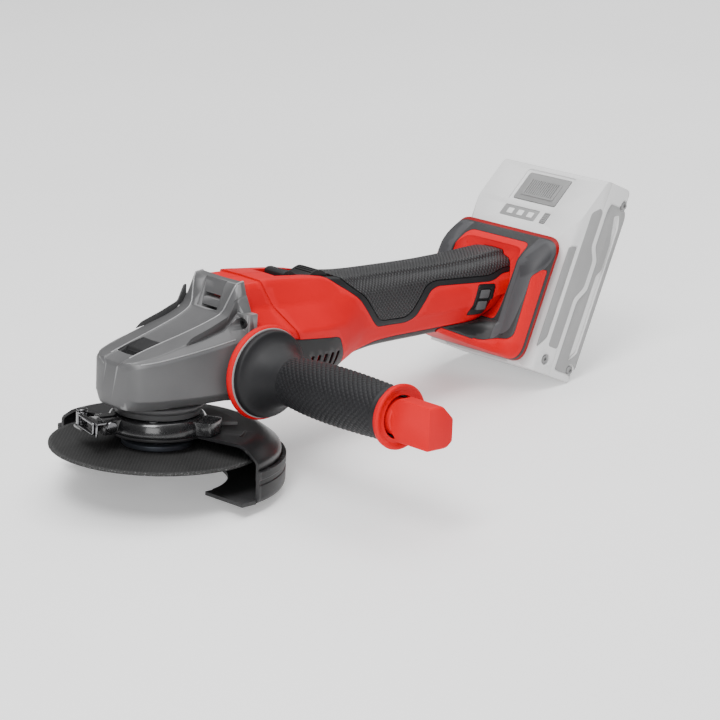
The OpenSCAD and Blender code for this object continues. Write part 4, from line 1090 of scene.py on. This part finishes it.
# grey plates set in the relief: outline, depths, corner steps, bevel
FIELD = ([(239, 210, 1.5), (252, 210, 2.5), (254, 205.5, 2.5), (254, 112.5, 2), (250.6, 108.5, 2),
    (236.5, 108.5, 2), (236.5, 149.6, 2.5), (242, 157.6, 2.5), (242, 176.4, 2.5),
    (237, 183.4, 2.5), (237, 204.5, 2)], -1, -0.55, 5, 0.12)
FIELD_SLOT = [(244.4, 204, 1.4), (248.9, 206, 1.4), (251.4, 199, 1.5), (251.4, 121.5, 1.5),
    (245.6, 115.4, 1.5), (245.6, 168, 1.5), (248.6, 172, 1.5), (248.6, 188, 1.5)]
BAR = ([(246.6, 198, 1), (250.6, 198, 1), (250.6, 122.5, 1.2), (246.6, 118.5, 1.2)], -2.3, -1.7, 4,
    0.12)
LANE = ([(215.4, 177.2, 1.3), (221.6, 179.2, 1.3), (221.6, 124.4, 1.8), (215.4, 116.8, 1.8)], -0.8,
    -0.4, 4, 0.12)
WIDE = ([(224.4, 200.6, 2), (230.6, 205.2, 2), (233.2, 203.4, 2), (233.2, 182.2, 2.5),
    (238, 175.2, 2.5), (238, 158.8, 2.5), (232.6, 150.6, 2.5), (232.6, 119.8, 2),
    (224.4, 119.8, 2)], -0.4, 0.12, 5, 0.1)
for s, tag in SIDES:
    for kind, (outline, a, b, n, bevel), mat, slot_ in (("field", FIELD, PALE_MID, "pack_mid"),
            ("bar", BAR, PALE_LED, "pack_light"), ("lane", LANE, PALE_MID, "pack_mid"),
            ("band", WIDE, PALE_MID, "pack_mid")):
        ob = flank(s, outline, a, b, n)
        if kind == "field":
            minus(ob, flank(s, FIELD_SLOT, a - 1, b + 1))
            for w, u in SCREWS_AT[:2]:
                minus(ob, rod(3.6, -4, 4, flank_screw(w, s, 0, u), 40))
        ob.data.transform(PACK)
        piece(ob, "pack", mat, (), bevel, 30, name="pack_flank_%s_%s" % (kind, tag))

gauge = plate(-3.8, 3.8, -9.8, 17.8, -0.95, -0.15, 0.9, 4, PACK @ GAUGE_AT)
piece(gauge, "pack", PALE_DARK, ["pack_gauge"], 0.15, 30, name="pack_gauge_plate")
lens = [plate(-1.9, 1.9, y - 2.2, y + 2.2, -0.2, 0.12, 0.5, 3, PACK @ GAUGE_AT)
    for y in (-4.6, 3.4, 11.4)]
piece(merge("pack_gauge_lenses", lens), "pack", PALE_LED, (), 0.1, 30)
gbutton = plate(-3.7, 3.7, -18.3, -14.3, -1.1, 0.45, 0.8)
for k in range(5):
    minus(gbutton, block(-2.9 + 1.3 * k, -2.4 + 1.3 * k, -17.8, -14.8, 0.1, 3))
gbutton.data.transform(PACK @ GAUGE_AT)
piece(gbutton, "gauge", PALE_DARK, ["gauge_button"], 0.12, 35, name="gauge_button_cap")
latch = plate(-9.2, 10, -16.7, 16.7, -1.3, -0.3, 1.3)
plus(latch, plate(-6.2, 6.6, -13, 13, -0.9, 0.25, 1.3))
for k in range(14):
    minus(latch, block(-5, 5.4, -10.4 + 1.6 * k - 0.35, -10.4 + 1.6 * k + 0.35, -0.35, 3))
latch.data.transform(PACK @ LATCH_AT)
piece(latch, "latch", PALE_DARK, ["pack_latch"], 0.2, 35, name="pack_latch_plate")
for k, (w, u) in enumerate(SCREWS_AT):
    for j, (s, _) in enumerate(SIDES):
        torx("pack_screw_%d" % (2 * k + j), 2.6, 1.5, PACK @ flank_screw(w, s, -1.85, u), "pack",
            PALE_DARK, ["pack_screws"])

# ---- carried-over parts and their finishes

FINISH = {name: mat for mat, names in (
    (STEEL, "lower_bearing upper_bearing front_motor_bearing rear_motor_bearing spindle "
            "crown_gear motor_shaft pinion lock_pin lock_spring"),
    (PAINT, "bearing_carrier"), (RUBBER, "dust_seal"), (DARK_STEEL, "housing_screws"),
    (BRASS, "terminal_block"), (LAMINATED, "stator_core rotor_core"), (COPPER, "stator_windings"),
    (BOARD, "sensor_board control_board"), (SLEEVE, "pack_cells")) for name in names.split()}
for name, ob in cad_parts.items():
    ob.data.materials.clear()
    ob.data.materials.append(FINISH.get(name, BLACK))

# ---- floor, light and camera

# the tool stands on the cutting cover's rim and the lower edge of the pack
cover_low, cover_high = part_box("cutting_cover")
touch_front = Vector((cover_high.x, 0, cover_low.z))
corner = PACK @ (Vector((BACK - 6, 0, U0)) * MM)
slope = math.atan2(corner.z - touch_front.z, corner.x - touch_front.x)
REACH = 4000
floor = solid("floor", [(-REACH, -REACH, 0), (REACH, -REACH, 0), (REACH, REACH, 0),
    (-REACH, REACH, 0)], [(0, 1, 2, 3)])
floor.matrix_world = Matrix.Translation(touch_front - Vector((0, 0, 0.0002))) @ turn(-slope, "Y")
fmat, t, b, co = nodes_of("pale_floor")
t.links.new(ramp(t, noise(t, co, 3, 2), [(0.3, (0.80, 0.80, 0.80)), (0.7, (0.84, 0.84, 0.84))]),
    b.inputs["Base Color"])
constants(b, {"Roughness": 0.65, "Specular IOR Level": 0.25, "Emission Color": (1, 1, 1, 1),
    "Emission Strength": 0.35})
floor.data.materials.append(fmat)

world = bpy.data.worlds.new("studio")
bpy.context.scene.world = world
world.use_nodes = True
wt = world.node_tree
split = wt.nodes.new("ShaderNodeSeparateXYZ")
wt.links.new(wt.nodes.new("ShaderNodeTexCoord").outputs["Generated"], split.inputs[0])
wt.links.new(ramp(wt, split.outputs["Z"], [(0, (0.16, 0.16, 0.16)), (0.35, (0.3, 0.3, 0.3)),
    (0.8, (0.85, 0.85, 0.85))]), wt.nodes["Background"].inputs["Color"])
wt.nodes["Background"].inputs["Strength"].default_value = 0.75
target = Vector((0.144448, 0, 0.025018))


def area(name, place, power, size):
    """Square soft light aimed at the target."""
    d = bpy.data.lights.new(name, "AREA")
    d.energy, d.size = power, size
    ob = link(name, d)
    ob.location = place
    ob.rotation_euler = (target - Vector(place)).to_track_quat("-Z", "Y").to_euler()


area("key_light", (-0.9, -0.5, 1.5), 26, 0.7)
area("fill_light", (-1.3, -1.1, 0.6), 13, 0.9)
area("rim_light", (1.3, 0.5, 1.3), 4, 0.8)
area("top_light", (0.15, 0, 2.6), 60, 2.4)

az, el, roll, dist = math.radians(-43.127), math.radians(14.426), math.radians(2.485), 1.573805
back = Vector((math.sin(az) * math.cos(el), -math.cos(az) * math.cos(el), math.sin(el)))
right = (-back).cross(Vector((0, 0, 1))).normalized()
up = right.cross(-back)
r0 = right * math.cos(roll) + up * math.sin(roll)
r1 = -right * math.sin(roll) + up * math.cos(roll)
cam_data = bpy.data.cameras.new("camera")
cam_data.sensor_fit, cam_data.sensor_width, cam_data.lens = "HORIZONTAL", 36, 140.24
cam_data.clip_start, cam_data.clip_end = 0.05, 60
cam = link("camera", cam_data)
m = Matrix.Identity(4)
for k in range(3):
    m[k][0], m[k][1], m[k][2], m[k][3] = r0[k], r1[k], back[k], (target + back * dist)[k]
cam.matrix_world = m
bpy.context.scene.camera = cam
